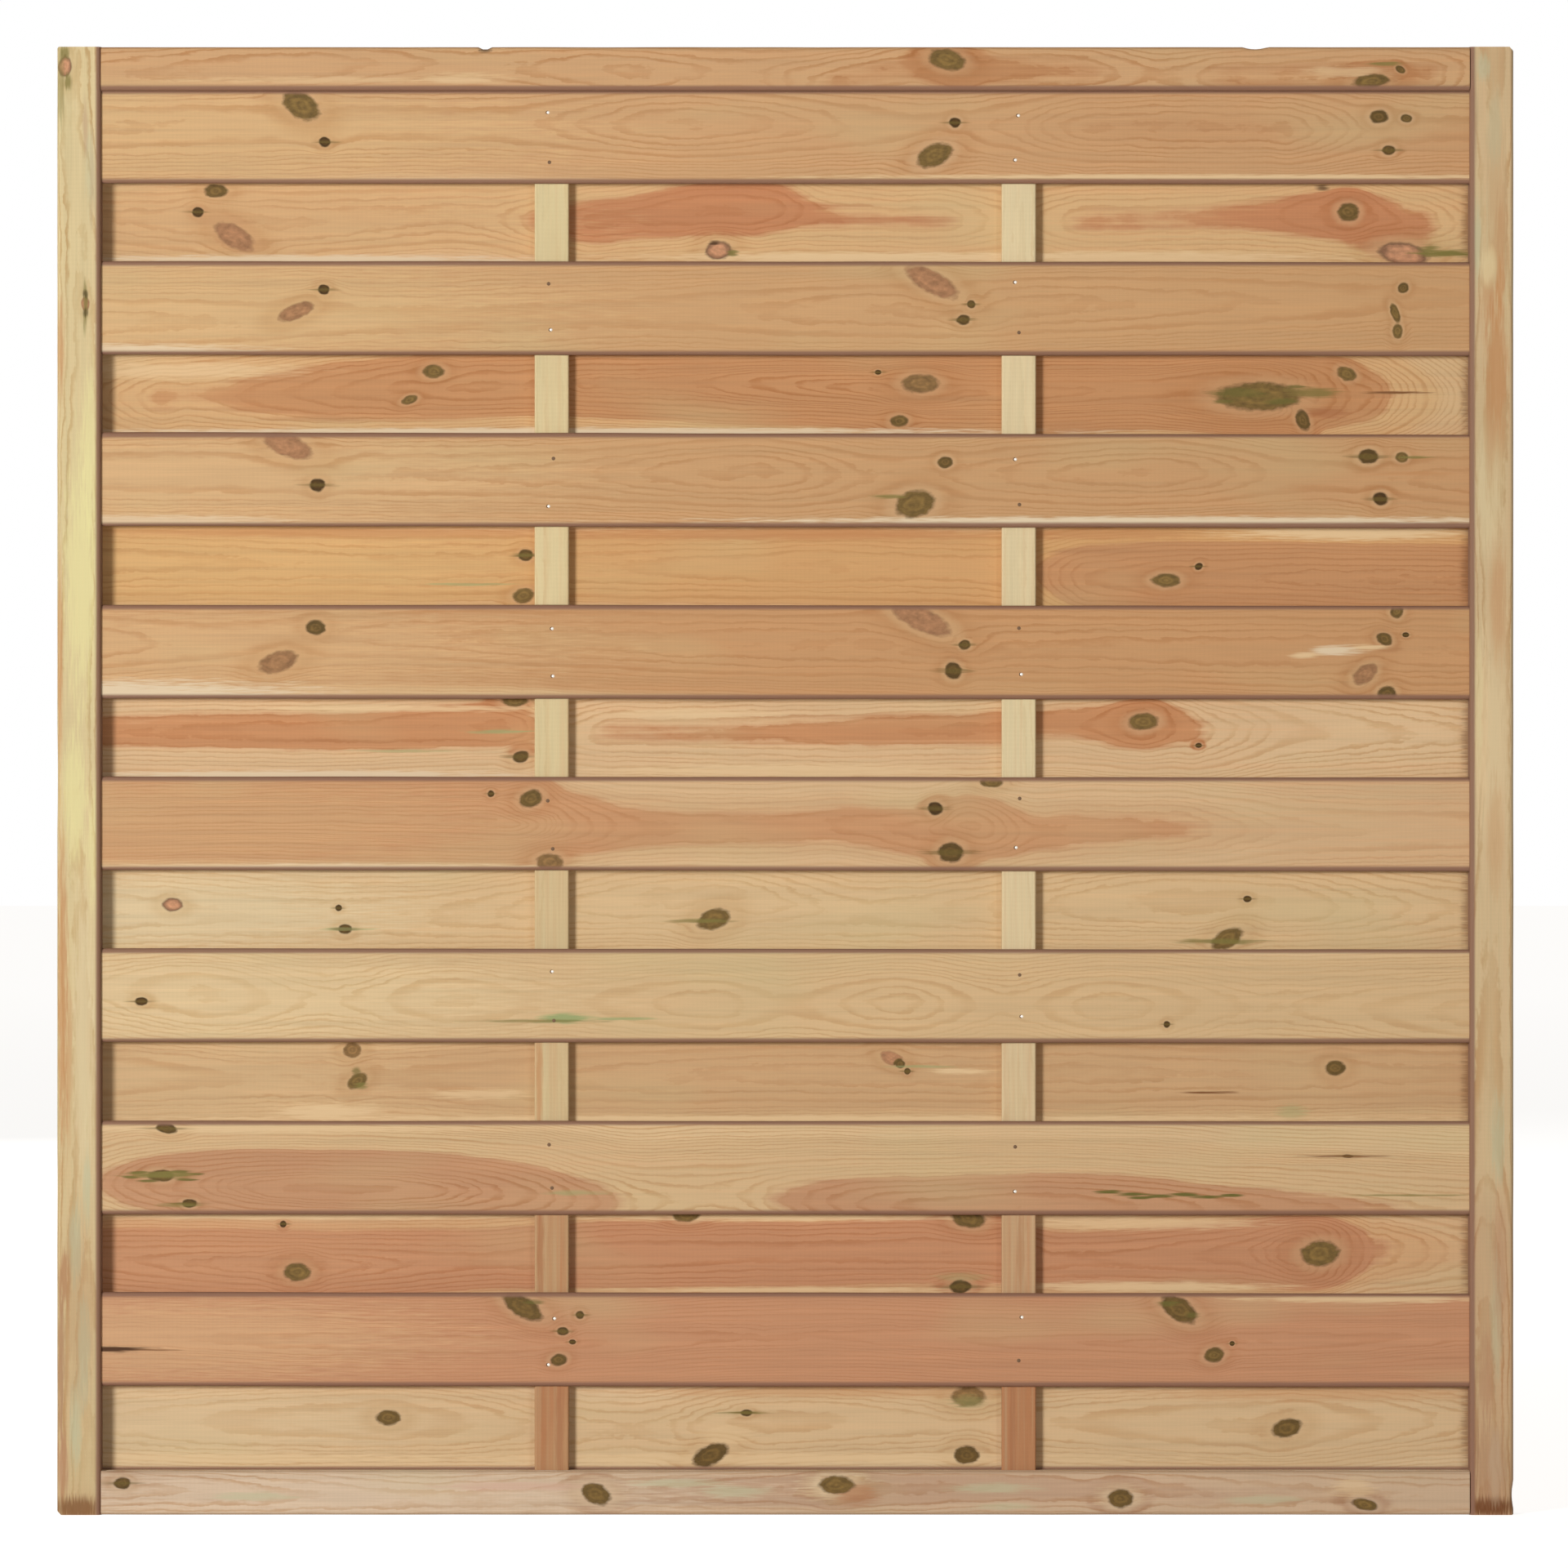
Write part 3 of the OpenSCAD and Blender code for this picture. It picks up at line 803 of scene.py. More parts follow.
def stock_outline(inner, outer, front, back):
    """Outline of the grooved frame stock, from its outer face to its grooved face."""
    floor = inner + math.copysign(GROOVE_DEPTH, outer - inner)
    half = GROOVE_W / 2
    notches = []
    for middle in (-GROOVE_MID, GROOVE_MID):
        front_side, back_side = middle - half, middle + half
        notches += [(inner, front_side), (floor, front_side), (floor, back_side), (inner, back_side)]
    return [(outer, back), (outer, front), (inner, front), *notches, (inner, back)]


def frame_piece(node, timber, lie, tenons=False):
    """A stile or rail in grooved stock with rounded arrises and slightly worn ends."""
    low, high = corners_mm(node)
    arris_r = bpy.context.scene.fence_shape.arris_r
    along_lo, along_hi = low.dot(lie.along), high.dot(lie.along)
    across_lo, across_hi = low.dot(lie.across), high.dot(lie.across)
    middle = Vector((PANEL_W, 0, PANEL_H)).dot(lie.across) / 2
    outer, inner = sorted((across_lo, across_hi), key=lambda side: -abs(side - middle))
    mesh = bmesh.new()
    start, end = (STILE_INNER, PANEL_W - STILE_INNER) if tenons else (along_lo, along_hi)
    outline = stock_outline(inner, outer, low.y, high.y)
    prism(mesh, lie, outline, start, end)
    arrises = [(side, depth) for side in (outer, inner) for depth in (low.y, high.y)]
    round_edges(mesh, lie, arrises, arris_r, ROUND_STEPS)
    outward = math.copysign(1, outer - inner)
    if not tenons:
        for at, onward, size in zip((along_lo, along_hi), (-1, 1), timber.clipped):
            clip_corner(mesh, lie, lie.point(at, outer, 0), outward, onward, size)
    inset = arris_r + ROUND_LOOP
    for side in (across_lo + inset, across_hi - inset):
        cut_across(mesh, lie.across, side)
    for depth in (low.y + inset, high.y - inset):
        cut_across(mesh, Vector((0, 1, 0)), depth)
    bmesh.ops.subdivide_edges(mesh, edges=long_edges(mesh, lie), cuts=STOCK_CUTS)
    seed = sum(map(ord, node))
    for vert in mesh.verts:
        along = vert.co.dot(lie.along)
        side = vert.co.dot(lie.across)
        push = WEAR * (1 + noise.noise(Vector((along / WEAR_ALONG, side / WEAR_ACROSS, seed))))
        for dent in timber.dents:
            push += dent.deep * max(0, 1 - ((along - dent.along) / dent.long) ** 2)
        if abs(side - outer) < arris_r:
            vert.co -= lie.across * outward * push
    if tenons:
        floor = inner + outward * GROOVE_DEPTH
        for mid_y in (-GROOVE_MID, GROOVE_MID):
            front, back = mid_y - BOARD_T / 2, mid_y + BOARD_T / 2
            tenon = [(outer, front), (floor, front), (floor, back), (outer, back)]
            prism(mesh, lie, tenon, along_lo, start + TENON_ROOT)
            prism(mesh, lie, tenon, end - TENON_ROOT, along_hi)
    finish_mesh(mesh, node + "_timber", pine(node, timber, lie), node)


def batten_piece(node, timber):
    """A plain upright batten with eased edges."""
    low, high = corners_mm(node)
    mesh = bmesh.new()
    outline = [(low.x, low.y), (high.x, low.y), (high.x, high.y), (low.x, high.y)]
    prism(mesh, UPRIGHT, outline, low.z, high.z)
    radius = bpy.context.scene.fence_shape.batten_r
    round_edges(mesh, UPRIGHT, outline, radius, EASED_STEPS)
    inset = radius + EASED_LOOP
    for side in (low.x + inset, high.x - inset):
        cut_across(mesh, UPRIGHT.across, side)
    bmesh.ops.subdivide_edges(mesh, edges=long_edges(mesh, UPRIGHT), cuts=BOARD_CUTS)
    finish_mesh(mesh, node + "_timber", pine(node, timber, UPRIGHT), node)


# How far a nail strays sideways and up or down, and how far its middle stands off the board
NAIL_SWAY = 5
NAIL_DRIFT = 4
NAIL_PROUD = 0.1
# Share of the nails whose heads show
PROUD_SHARE = 0.5
# Height of a nail's head and of the dimple round it, as shares of their own radii
HEAD_FLATNESS = 0.3
DIMPLE_FLATNESS = 0.2
# The dimple's radius and how far it lies to the left, where the shade in the nail hole is painted, as
# shares of the head's radius
DIMPLE_SIZE = 1.15
DIMPLE_SHIFT = 0.45
# How much deeper the dimple's middle lies than the head's, which lets the head show over it
DIMPLE_SINK = 0.05
# Turns a dome's upright axis to run from back to front
FACING = Matrix.Rotation(math.radians(90), 4, "X")


def add_dome(mesh, radius, place, flatness):
    """A flattened ball, which shows as a low dome where it breaks a board's face."""
    bmesh.ops.create_uvsphere(
        mesh, u_segments=12, v_segments=6, radius=radius,
        matrix=place @ Matrix.Diagonal((1, 1, flatness, 1)))


# Materials

FLOAT = "NodeSocketFloat"
VECTOR = "NodeSocketVector"
COLOUR = "NodeSocketColor"


def add_node(tree, kind, inputs=None, **settings):
    """Add one node with its settings, and give each of these inputs a value or a link.

    A node given as a value is linked from its first output in use.
    """
    node = tree.nodes.new(kind)
    for name, value in settings.items():
        setattr(node, name, value)
    for name, value in (inputs or {}).items():
        socket = node.inputs[name]
        if isinstance(value, bpy.types.Node):
            value = next(output for output in value.outputs if output.enabled)
        if isinstance(value, bpy.types.NodeSocket):
            tree.links.new(value, socket)
        elif socket.type == "RGBA" and len(value) == 3:
            socket.default_value = (*value, 1)
        else:
            socket.default_value = value
    return node


def emptied(tree):
    """Clear a node tree, and return the function that adds nodes to it."""
    tree.nodes.clear()
    return partial(add_node, tree)


def new_material(name):
    """An empty material, and the function that adds nodes to it."""
    material = bpy.data.materials.new(name)
    material.use_nodes = True
    return material, emptied(material.node_tree)


def new_group(name, inputs, outputs):
    """An empty node group's inputs by name, and the function that adds nodes to it."""
    tree = bpy.data.node_groups.new(name, "ShaderNodeTree")
    for label, kind in inputs.items():
        tree.interface.new_socket(name=label, in_out="INPUT", socket_type=kind)
    for label, kind in outputs.items():
        tree.interface.new_socket(name=label, in_out="OUTPUT", socket_type=kind)
    return tree.nodes.new("NodeGroupInput").outputs, partial(add_node, tree)


def set_stops(ramp, interpolation, stops):
    """Give a colour ramp these (position, colour) stops, in order."""
    ramp.interpolation = interpolation
    while len(ramp.elements) > 1:
        ramp.elements.remove(ramp.elements[-1])
    for index, (position, colour) in enumerate(stops):
        stop = ramp.elements[0] if index == 0 else ramp.elements.new(position)
        stop.position = position
        stop.color = (*colour, 1)


def seen_directly(add):
    """1 for a ray from the eye, a reflection or glass, and 0 for a ray that only carries light."""
    ray = add("ShaderNodeLightPath").outputs
    seen = add("ShaderNodeMath", {0: ray["Is Camera Ray"], 1: ray["Is Glossy Ray"]}, operation="MAXIMUM")
    return add("ShaderNodeMath", {0: seen, 1: ray["Is Transmission Ray"]}, operation="MAXIMUM")


def knot_group():
    """One knot: the distance from it in its own radii, and the grain bent round it."""
    given, add = new_group(
        "knot in pine",
        {"Point": VECTOR, "Centre": VECTOR, "Size": VECTOR, "Turn": FLOAT, "Tone": FLOAT,
         "Ragged": FLOAT, "Distance": FLOAT, "Bend": FLOAT, "Tones": FLOAT},
        {"Distance": FLOAT, "Bend": FLOAT, "Tones": FLOAT})
    offset = add("ShaderNodeVectorMath", {0: given["Point"], 1: given["Centre"]}, operation="SUBTRACT")
    turned = add("ShaderNodeVectorRotate", {"Vector": offset, "Angle": given["Turn"]},
                 rotation_type="Z_AXIS")
    local = add("ShaderNodeVectorMath", {0: turned, 1: given["Size"]}, operation="DIVIDE")
    radius = add("ShaderNodeVectorMath", {0: local}, operation="LENGTH")
    ragged = add("ShaderNodeMath", {0: radius, 1: given["Ragged"]}, operation="ADD")
    nearest = add("ShaderNodeMath", {0: given["Distance"], 1: ragged}, operation="MINIMUM")
    pull = add("ShaderNodeMapRange", {0: radius, 1: 0.5, 2: 3.6, 3: 0.86, 4: 0.0},
               interpolation_type="SMOOTHSTEP")
    side = add("ShaderNodeSeparateXYZ", {0: offset}).outputs["Y"]
    bend = add("ShaderNodeMath", {0: side, 1: pull, 2: given["Bend"]}, operation="MULTIPLY_ADD")
    inside = add("ShaderNodeMapRange", {0: ragged, 1: 1.5, 2: 1.2, 3: 0.0, 4: 1.0})
    tones = add("ShaderNodeMix", {0: inside, 2: given["Tones"], 3: given["Tone"]}, data_type="FLOAT")
    add("NodeGroupOutput", {"Distance": nearest, "Bend": bend, "Tones": tones})


def stain_group():
    """One stain: a soft patch drawn out along the grain, over the colour given. It also draws the painted
    shade at each back board's right end.
    """
    given, add = new_group(
        "stain in pine",
        {"Point": VECTOR, "Centre": VECTOR, "Size": VECTOR, "Ragged": FLOAT, "Strength": FLOAT,
         "Colour": COLOUR, "Tint": COLOUR},
        {"Colour": COLOUR})
    offset = add("ShaderNodeVectorMath", {0: given["Point"], 1: given["Centre"]}, operation="SUBTRACT")
    local = add("ShaderNodeVectorMath", {0: offset, 1: given["Size"]}, operation="DIVIDE")
    radius = add("ShaderNodeVectorMath", {0: local}, operation="LENGTH")
    ragged = add("ShaderNodeMath", {0: given["Ragged"], 1: radius}, operation="ADD")
    mask = add("ShaderNodeMapRange", {0: ragged, 1: 1.2, 2: 0.35, 3: 0.0, 4: given["Strength"]},
               interpolation_type="SMOOTHSTEP")
    tinted = add("ShaderNodeMix", {0: mask, 6: given["Colour"], 7: given["Tint"]}, data_type="RGBA")
    add("NodeGroupOutput", {"Colour": tinted})


def pine_group():
    """Planed pine: rings round a pith that lies behind the face, heartwood, knots and stains.

    Points are millimetres along, across and into the timber. A ring shows as a line
    where it meets the surface, so straight, arched and oval figures all come from
    how far away the pith is, and the ends show round rings.
    """
    given, add = new_group(
        "planed pine",
        {"Point": VECTOR, "Seed": VECTOR, "Across": FLOAT, "Depth": FLOAT, "Red": FLOAT,
         "Distance": FLOAT, "Bend": FLOAT, "Tones": FLOAT, "Figure": FLOAT,
         "Heart Radius": FLOAT, "Pale Radius": FLOAT, "Halo": FLOAT,
         "Sap": COLOUR, "Pale": COLOUR, "Heart": COLOUR},
        {"Colour": COLOUR, "Knot Colour": COLOUR, "Knot": FLOAT, "Roughness": FLOAT, "Relief": FLOAT})
    finish = bpy.context.scene.fence_finish

    def cloud(along, across, detail):
        """Noise drawn out along the grain: the sizes are its grain in millimetres."""
        scaled = add("ShaderNodeVectorMath", {0: seeded, 1: (1 / along, 1 / across, 1 / across)},
                     operation="MULTIPLY")
        return add("ShaderNodeTexNoise", {"Vector": scaled, "Scale": 1.0, "Detail": detail,
                                          "Roughness": 0.6})

    seeded = add("ShaderNodeVectorMath", {0: given["Point"], 1: given["Seed"]}, operation="ADD")
    parts = add("ShaderNodeSeparateXYZ", {0: given["Point"]}).outputs
    drift = cloud(300, 90, 1.5)
    wave = cloud(34, 11, 3.0)
    streaks = cloud(420, 7, 4.0)
    fibres = cloud(60, 1.1, 2.0)
    blotches = cloud(170, 55, 2.0)
    mottle = cloud(9, 6, 2.0)

    # Distance from the pith, with the grain bent round knots
    bent = add("ShaderNodeMath", {0: parts["Y"], 1: given["Bend"]}, operation="SUBTRACT")
    offset = add("ShaderNodeMath", {0: bent, 1: given["Across"]}, operation="SUBTRACT")
    drifted = add("ShaderNodeMath", {0: drift, 1: 18.0, 2: offset}, operation="MULTIPLY_ADD")
    side = add("ShaderNodeMath", {0: drifted, 1: 9.0}, operation="SUBTRACT")
    behind = add("ShaderNodeMath", {0: parts["Z"], 1: given["Depth"]}, operation="ADD")
    section = add("ShaderNodeCombineXYZ", {0: side, 1: behind, 2: 0.0})
    straight = add("ShaderNodeVectorMath", {0: section}, operation="LENGTH")
    radius = add("ShaderNodeMath", {0: wave, 1: 3.6, 2: straight}, operation="MULTIPLY_ADD")

    # Growth rings, whose widths vary from year to year
    years = add("ShaderNodeMath", {0: radius, 1: 1 / 21}, operation="MULTIPLY")
    lean = add("ShaderNodeTexNoise", {"W": years, "Scale": 1.0, "Detail": 1.0}, noise_dimensions="1D")
    count = add("ShaderNodeMath", {0: radius, 1: 1 / finish.ring_gap}, operation="MULTIPLY")
    phase = add("ShaderNodeMath", {0: lean, 1: 4.0, 2: count}, operation="MULTIPLY_ADD")
    ring = add("ShaderNodeMath", {0: phase}, operation="FRACT")
    late = add("ShaderNodeValToRGB", {0: ring})
    # The line darkens slowly over the second half of the ring and ends sharply
    black, white = (0, 0, 0), (1, 1, 1)
    set_stops(late.color_ramp, "EASE", ((0.5, black), (0.82, white), (0.9, white), (1.0, black)))
    clear = add("ShaderNodeMapRange", {0: blotches, 1: 0.34, 2: 0.62, 3: 0.4, 4: 1.0})
    # A ring that meets the face at a low angle shows as a wide pale band, so its contrast falls
    lean_in = add("ShaderNodeMath", {0: side, 1: radius}, operation="DIVIDE")
    lean_in = add("ShaderNodeMath", {0: lean_in}, operation="ABSOLUTE")
    steep = add("ShaderNodeMapRange", {0: lean_in, 1: 0.02, 2: 0.22, 3: 0.4, 4: 1.0})
    clear = add("ShaderNodeMath", {0: clear, 1: steep}, operation="MULTIPLY")
    latewood = add("ShaderNodeMath", {0: late, 1: clear}, operation="MULTIPLY")

    # Heartwood, sapwood and the palest wood outside
    near = add("ShaderNodeMapRange", {0: given["Distance"], 1: 1.0, 2: 3.2, 3: 1.0, 4: 0.0},
               interpolation_type="SMOOTHSTEP")
    feather = add("ShaderNodeMath", {0: streaks, 1: 8.0, 2: radius}, operation="MULTIPLY_ADD")
    reach = add("ShaderNodeMath", {0: given["Halo"], 1: near}, operation="MULTIPLY")
    heart_at = add("ShaderNodeMath", {0: feather, 1: reach}, operation="SUBTRACT")
    heart_from = add("ShaderNodeMath", {0: given["Heart Radius"], 1: 9.0}, operation="ADD")
    heart_full = add("ShaderNodeMath", {0: given["Heart Radius"], 1: 4.0}, operation="ADD")
    hearted = add("ShaderNodeMapRange", {0: heart_at, 1: heart_from, 2: heart_full, 3: 0.0, 4: 1.0},
                  interpolation_type="SMOOTHSTEP")
    ruddy = add("ShaderNodeMath", {0: streaks, 1: 1.1, 2: -0.55}, operation="MULTIPLY_ADD")
    ruddy = add("ShaderNodeMath", {0: ruddy, 1: given["Red"]}, operation="ADD", use_clamp=True)
    heart = add("ShaderNodeMath", {0: hearted, 1: ruddy}, operation="MAXIMUM")
    pale_full = add("ShaderNodeMath", {0: given["Pale Radius"], 1: 9.0}, operation="ADD")
    paled = add("ShaderNodeMapRange", {0: feather, 1: given["Pale Radius"], 2: pale_full, 3: 0.0, 4: 1.0},
                interpolation_type="SMOOTHSTEP")
    outer = add("ShaderNodeMix", {0: paled, 6: given["Sap"], 7: given["Pale"]}, data_type="RGBA")
    body = add("ShaderNodeMix", {0: heart, 6: outer, 7: given["Heart"]}, data_type="RGBA")

    # Light and dark along the grain
    shade = add("ShaderNodeMath", {0: streaks, 1: 0.34, 2: 0.655}, operation="MULTIPLY_ADD")
    shade = add("ShaderNodeMath", {0: fibres, 1: 0.18, 2: shade}, operation="MULTIPLY_ADD")
    shade = add("ShaderNodeMath", {0: blotches, 1: 0.12, 2: shade}, operation="MULTIPLY_ADD")
    # The planer's knives leave a faint ripple across the grain
    ripple = add("ShaderNodeMath", {0: parts["X"], 1: 2 * math.pi / 5.5}, operation="MULTIPLY")
    ripple = add("ShaderNodeMath", {0: ripple}, operation="SINE")
    shade = add("ShaderNodeMath", {0: ripple, 1: 0.008, 2: shade}, operation="MULTIPLY_ADD")
    body = add("ShaderNodeVectorMath", {0: body, "Scale": shade}, operation="SCALE")
    lined = add("ShaderNodeVectorMath", {0: body, 1: finish.late_tint}, operation="MULTIPLY")
    late_share = add("ShaderNodeMath", {0: latewood, 1: given["Figure"]}, operation="MULTIPLY")
    late_share = add("ShaderNodeMath", {0: late_share, 1: finish.latewood}, operation="MULTIPLY")
    body = add("ShaderNodeMix", {0: late_share, 6: body, 7: lined}, data_type="RGBA")

    # Copper treatment shows green in patches of the sapwood
    tinge = add("ShaderNodeMapRange", {0: drift, 1: 0.55, 2: 0.75, 3: 0.0, 4: 0.22})
    body = add("ShaderNodeMix", {0: tinge, 6: body, 7: finish.tinge}, data_type="RGBA")

    # Knots: a brown disc with rings and a dark rim, in slightly darker wood
    ringed = add("ShaderNodeVectorMath", {0: body, 1: linear("#E0CBAE")}, operation="MULTIPLY")
    shaded = add("ShaderNodeMath", {0: near, 1: 0.4}, operation="MULTIPLY")
    body = add("ShaderNodeMix", {0: shaded, 6: body, 7: ringed}, data_type="RGBA")
    collar = add("ShaderNodeMapRange", {0: given["Distance"], 1: 1.9, 2: 1.15, 3: 0.0, 4: 0.3},
                 interpolation_type="SMOOTHSTEP")
    body = add("ShaderNodeMix", {0: collar, 6: body, 7: given["Pale"]}, data_type="RGBA")
    tone = add("ShaderNodeValToRGB", {0: given["Tones"]})
    set_stops(tone.color_ramp, "LINEAR", [(at, linear(code)) for at, code in KNOT_COLOURS.items()])
    turns = add("ShaderNodeMath", {0: fibres, 1: 3.0}, operation="MULTIPLY")
    turns = add("ShaderNodeMath", {0: given["Distance"], 1: 15.0, 2: turns}, operation="MULTIPLY_ADD")
    turns = add("ShaderNodeMath", {0: turns}, operation="SINE")
    ringed_by = add("ShaderNodeMapRange", {0: given["Tones"], 1: 0.5, 2: 0.85, 3: 0.13, 4: 0.05})
    turns = add("ShaderNodeMath", {0: turns, 1: ringed_by, 2: 0.98}, operation="MULTIPLY_ADD")
    sound = add("ShaderNodeMapRange", {0: given["Tones"], 1: 0.2, 2: 0.85, 3: 0.55, 4: 0.8})
    rim_dark = add("ShaderNodeMapRange", {0: given["Tones"], 1: 0.9, 2: 1.0, 3: sound, 4: 0.3})
    rim = add("ShaderNodeMapRange", {0: given["Distance"], 1: 0.55, 2: 0.95, 3: 1.0, 4: rim_dark})
    turns = add("ShaderNodeMath", {0: turns, 1: rim}, operation="MULTIPLY")
    disc = add("ShaderNodeVectorMath", {0: tone, "Scale": turns}, operation="SCALE")
    patchy = add("ShaderNodeMath", {0: mottle, 1: 1.0, 2: 0.5}, operation="MULTIPLY_ADD")
    disc = add("ShaderNodeVectorMath", {0: disc, "Scale": patchy}, operation="SCALE")
    core = add("ShaderNodeMapRange", {0: given["Distance"], 1: 1.14, 2: 0.88, 3: 0.0, 4: 1.0})

    roughness = add("ShaderNodeMath", {0: fibres, 1: 0.16, 2: 0.58}, operation="MULTIPLY_ADD")
    relief = add("ShaderNodeMath", {0: fibres, 1: 0.10}, operation="MULTIPLY")
    relief = add("ShaderNodeMath", {0: ripple, 1: 0.012, 2: relief}, operation="MULTIPLY_ADD")
    add("NodeGroupOutput", {
        "Colour": body, "Knot Colour": disc, "Knot": core, "Roughness": roughness, "Relief": relief})


def pine(node, timber, lie):
    """Pressure-treated planed pine, laid out for one timber of the panel.

    Planed softwood is matt, with soft light and dark lines a few millimetres apart.
    The treatment greens its knots, and shade is painted darker along its round edges.
    """
    material, add = new_material("treated planed pine " + node.replace("_", " "))
    low, high = corners_mm(node)
    middle = (low + high) / 2
    origin = lie.across * middle.dot(lie.across) + Vector((0, low.y, 0))
    place = add("ShaderNodeTexCoord").outputs["Object"]
    place = add("ShaderNodeVectorMath", {0: place, "Scale": MM}, operation="SCALE")
    place = add("ShaderNodeVectorMath", {0: place, 1: origin}, operation="SUBTRACT")
    world = add("ShaderNodeSeparateXYZ", {0: place}).outputs
    along, across = (world["X"], world["Z"]) if lie is LEVEL else (world["Z"], world["X"])
    point = add("ShaderNodeCombineXYZ", {0: along, 1: across, 2: world["Y"]})
    span = PANEL_W if lie is LEVEL else PANEL_H

    # The ramp's channels hold the pith's place across and behind, and added redness
    across_span, depth_span = 240.0, 120.0
    share = add("ShaderNodeMath", {0: along, 1: span}, operation="DIVIDE")
    ramp = add("ShaderNodeValToRGB", {0: share})
    set_stops(ramp.color_ramp, "CARDINAL", [
        (min(at.along / span, 1), (at.across / across_span + 0.5, at.depth / depth_span, at.red))
        for at in timber.pith])
    pith = add("ShaderNodeSeparateColor", {0: ramp}).outputs
    pith_across = add("ShaderNodeMath", {0: pith[0], 1: across_span, 2: -across_span / 2},
                      operation="MULTIPLY_ADD")
    pith_depth = add("ShaderNodeMath", {0: pith[1], 1: depth_span}, operation="MULTIPLY")

    rough_scale = add("ShaderNodeVectorMath", {0: point, 1: (0.09, 0.16, 0.05)}, operation="MULTIPLY")
    rough = add("ShaderNodeTexNoise", {"Vector": rough_scale, "Scale": 1.0, "Detail": 3.0})
    ragged = add("ShaderNodeMath", {0: rough, 1: 0.5, 2: -0.25}, operation="MULTIPLY_ADD")

    groups = bpy.data.node_groups
    # Far from any knot, with straight grain
    distance, bend, tones = 9.0, 0.0, 0.5
    for knot in timber.knots:
        shaped = add("ShaderNodeGroup", {
            "Point": point, "Centre": (knot.along, knot.across, 0), "Size": (knot.long, knot.high, MM),
            "Turn": -math.radians(knot.turn), "Tone": knot.tone, "Ragged": ragged,
            "Distance": distance, "Bend": bend, "Tones": tones}, node_tree=groups["knot in pine"])
        distance, bend, tones = shaped.outputs
    # The painted shade of a round edge fades out on the flat of the face
    half = (high - low).dot(lie.across) / 2
    is_board = "board" in node
    width = (high - low).y / 2 if is_board else bpy.context.scene.fence_shape.arris_r
    edge = 0.0
    for sign, is_shaded in zip((-1, 1), timber.shaded_edges):
        if is_shaded:
            clear, dark = sign * (half - width - 3.5), sign * (half - width + 1.0)
            edge = add("ShaderNodeMapRange", {0: across, 1: clear, 2: dark, 3: edge, 4: 1.0},
                       interpolation_type="SMOOTHSTEP")

    drawn_out = add("ShaderNodeVectorMath", {0: point, 1: (0.03, 0.45, 0.1)}, operation="MULTIPLY")
    streaky = add("ShaderNodeTexNoise", {"Vector": drawn_out, "Scale": 1.0, "Detail": 3.0})
    streaky = add("ShaderNodeMath", {0: streaky, 1: 1.6, 2: -0.8}, operation="MULTIPLY_ADD")

    def stained(colour, stains):
        for stain in stains:
            colour = add("ShaderNodeGroup", {
                "Point": point, "Centre": (stain.along, stain.across, 0),
                "Size": (stain.long, stain.high, MM), "Ragged": streaky, "Strength": stain.strength,
                "Colour": colour, "Tint": linear(stain.colour)}, node_tree=groups["stain in pine"])
        return colour

    sap, pale, heartwood = (stained(linear(code), timber.ground) for code in timber.wood)
    chooser = random.Random(node)
    seed = [chooser.uniform(0, 5000) for _ in range(3)]
    planed = add("ShaderNodeGroup", {
        "Point": point, "Seed": seed, "Across": pith_across, "Depth": pith_depth, "Red": pith[2],
        "Distance": distance, "Bend": bend, "Tones": tones, "Figure": timber.figure,
        "Heart Radius": timber.heart_r, "Pale Radius": timber.pale_r, "Halo": timber.halo,
        "Sap": sap, "Pale": pale, "Heart": heartwood}, node_tree=groups["planed pine"]).outputs
    colour = stained(planed["Colour"], timber.stains)
    colour = add("ShaderNodeMix", {0: planed["Knot"], 6: colour, 7: planed["Knot Colour"]},
                 data_type="RGBA")
    # A dark knot trails a stain along the grain, longer and thinner than itself
    tails = [Stain(knot.along, knot.across, knot.long * 2.6, knot.high * 0.35, TAIL, 0.6)
             for knot in timber.knots if knot.tone < 0.25]
    colour = stained(colour, (*timber.marks, *tails))
    # Painted shade along the round edges, in the colour set for it
    edge = add("ShaderNodeMath", {0: edge, 1: 0.93}, operation="MULTIPLY")
    edge_shade = bpy.context.scene.fence_finish.edge_shade
    colour = add("ShaderNodeMix", {0: edge, 6: colour, 7: edge_shade}, data_type="RGBA")

    bump = add("ShaderNodeBump", {"Height": planed["Relief"], "Distance": 1 / MM, "Strength": 0.6})
    shader = add("ShaderNodeBsdfPrincipled", {
        "Base Color": colour, "Roughness": planed["Roughness"], "Normal": bump,
        "IOR": 1.5, "Specular IOR Level": 0.2})
    add("ShaderNodeOutputMaterial", {"Surface": shader})
    return material


def galvanised_steel():
    """Galvanised steel: dull grey zinc, with a soft sheen."""
    material, add = new_material("galvanised steel")
    place = add("ShaderNodeTexCoord").outputs["Object"]
    # Zinc spangle is about a millimetre across on a head this small
    spangle = add("ShaderNodeTexNoise", {"Vector": place, "Scale": MM})
    roughness = add("ShaderNodeMath", {0: spangle, 1: 0.3, 2: 0.3}, operation="MULTIPLY_ADD")
    shader = add("ShaderNodeBsdfPrincipled", {
        "Base Color": bpy.context.scene.fence_finish.steel, "Metallic": 0.9, "Roughness": roughness})
    add("ShaderNodeOutputMaterial", {"Surface": shader})
    return material


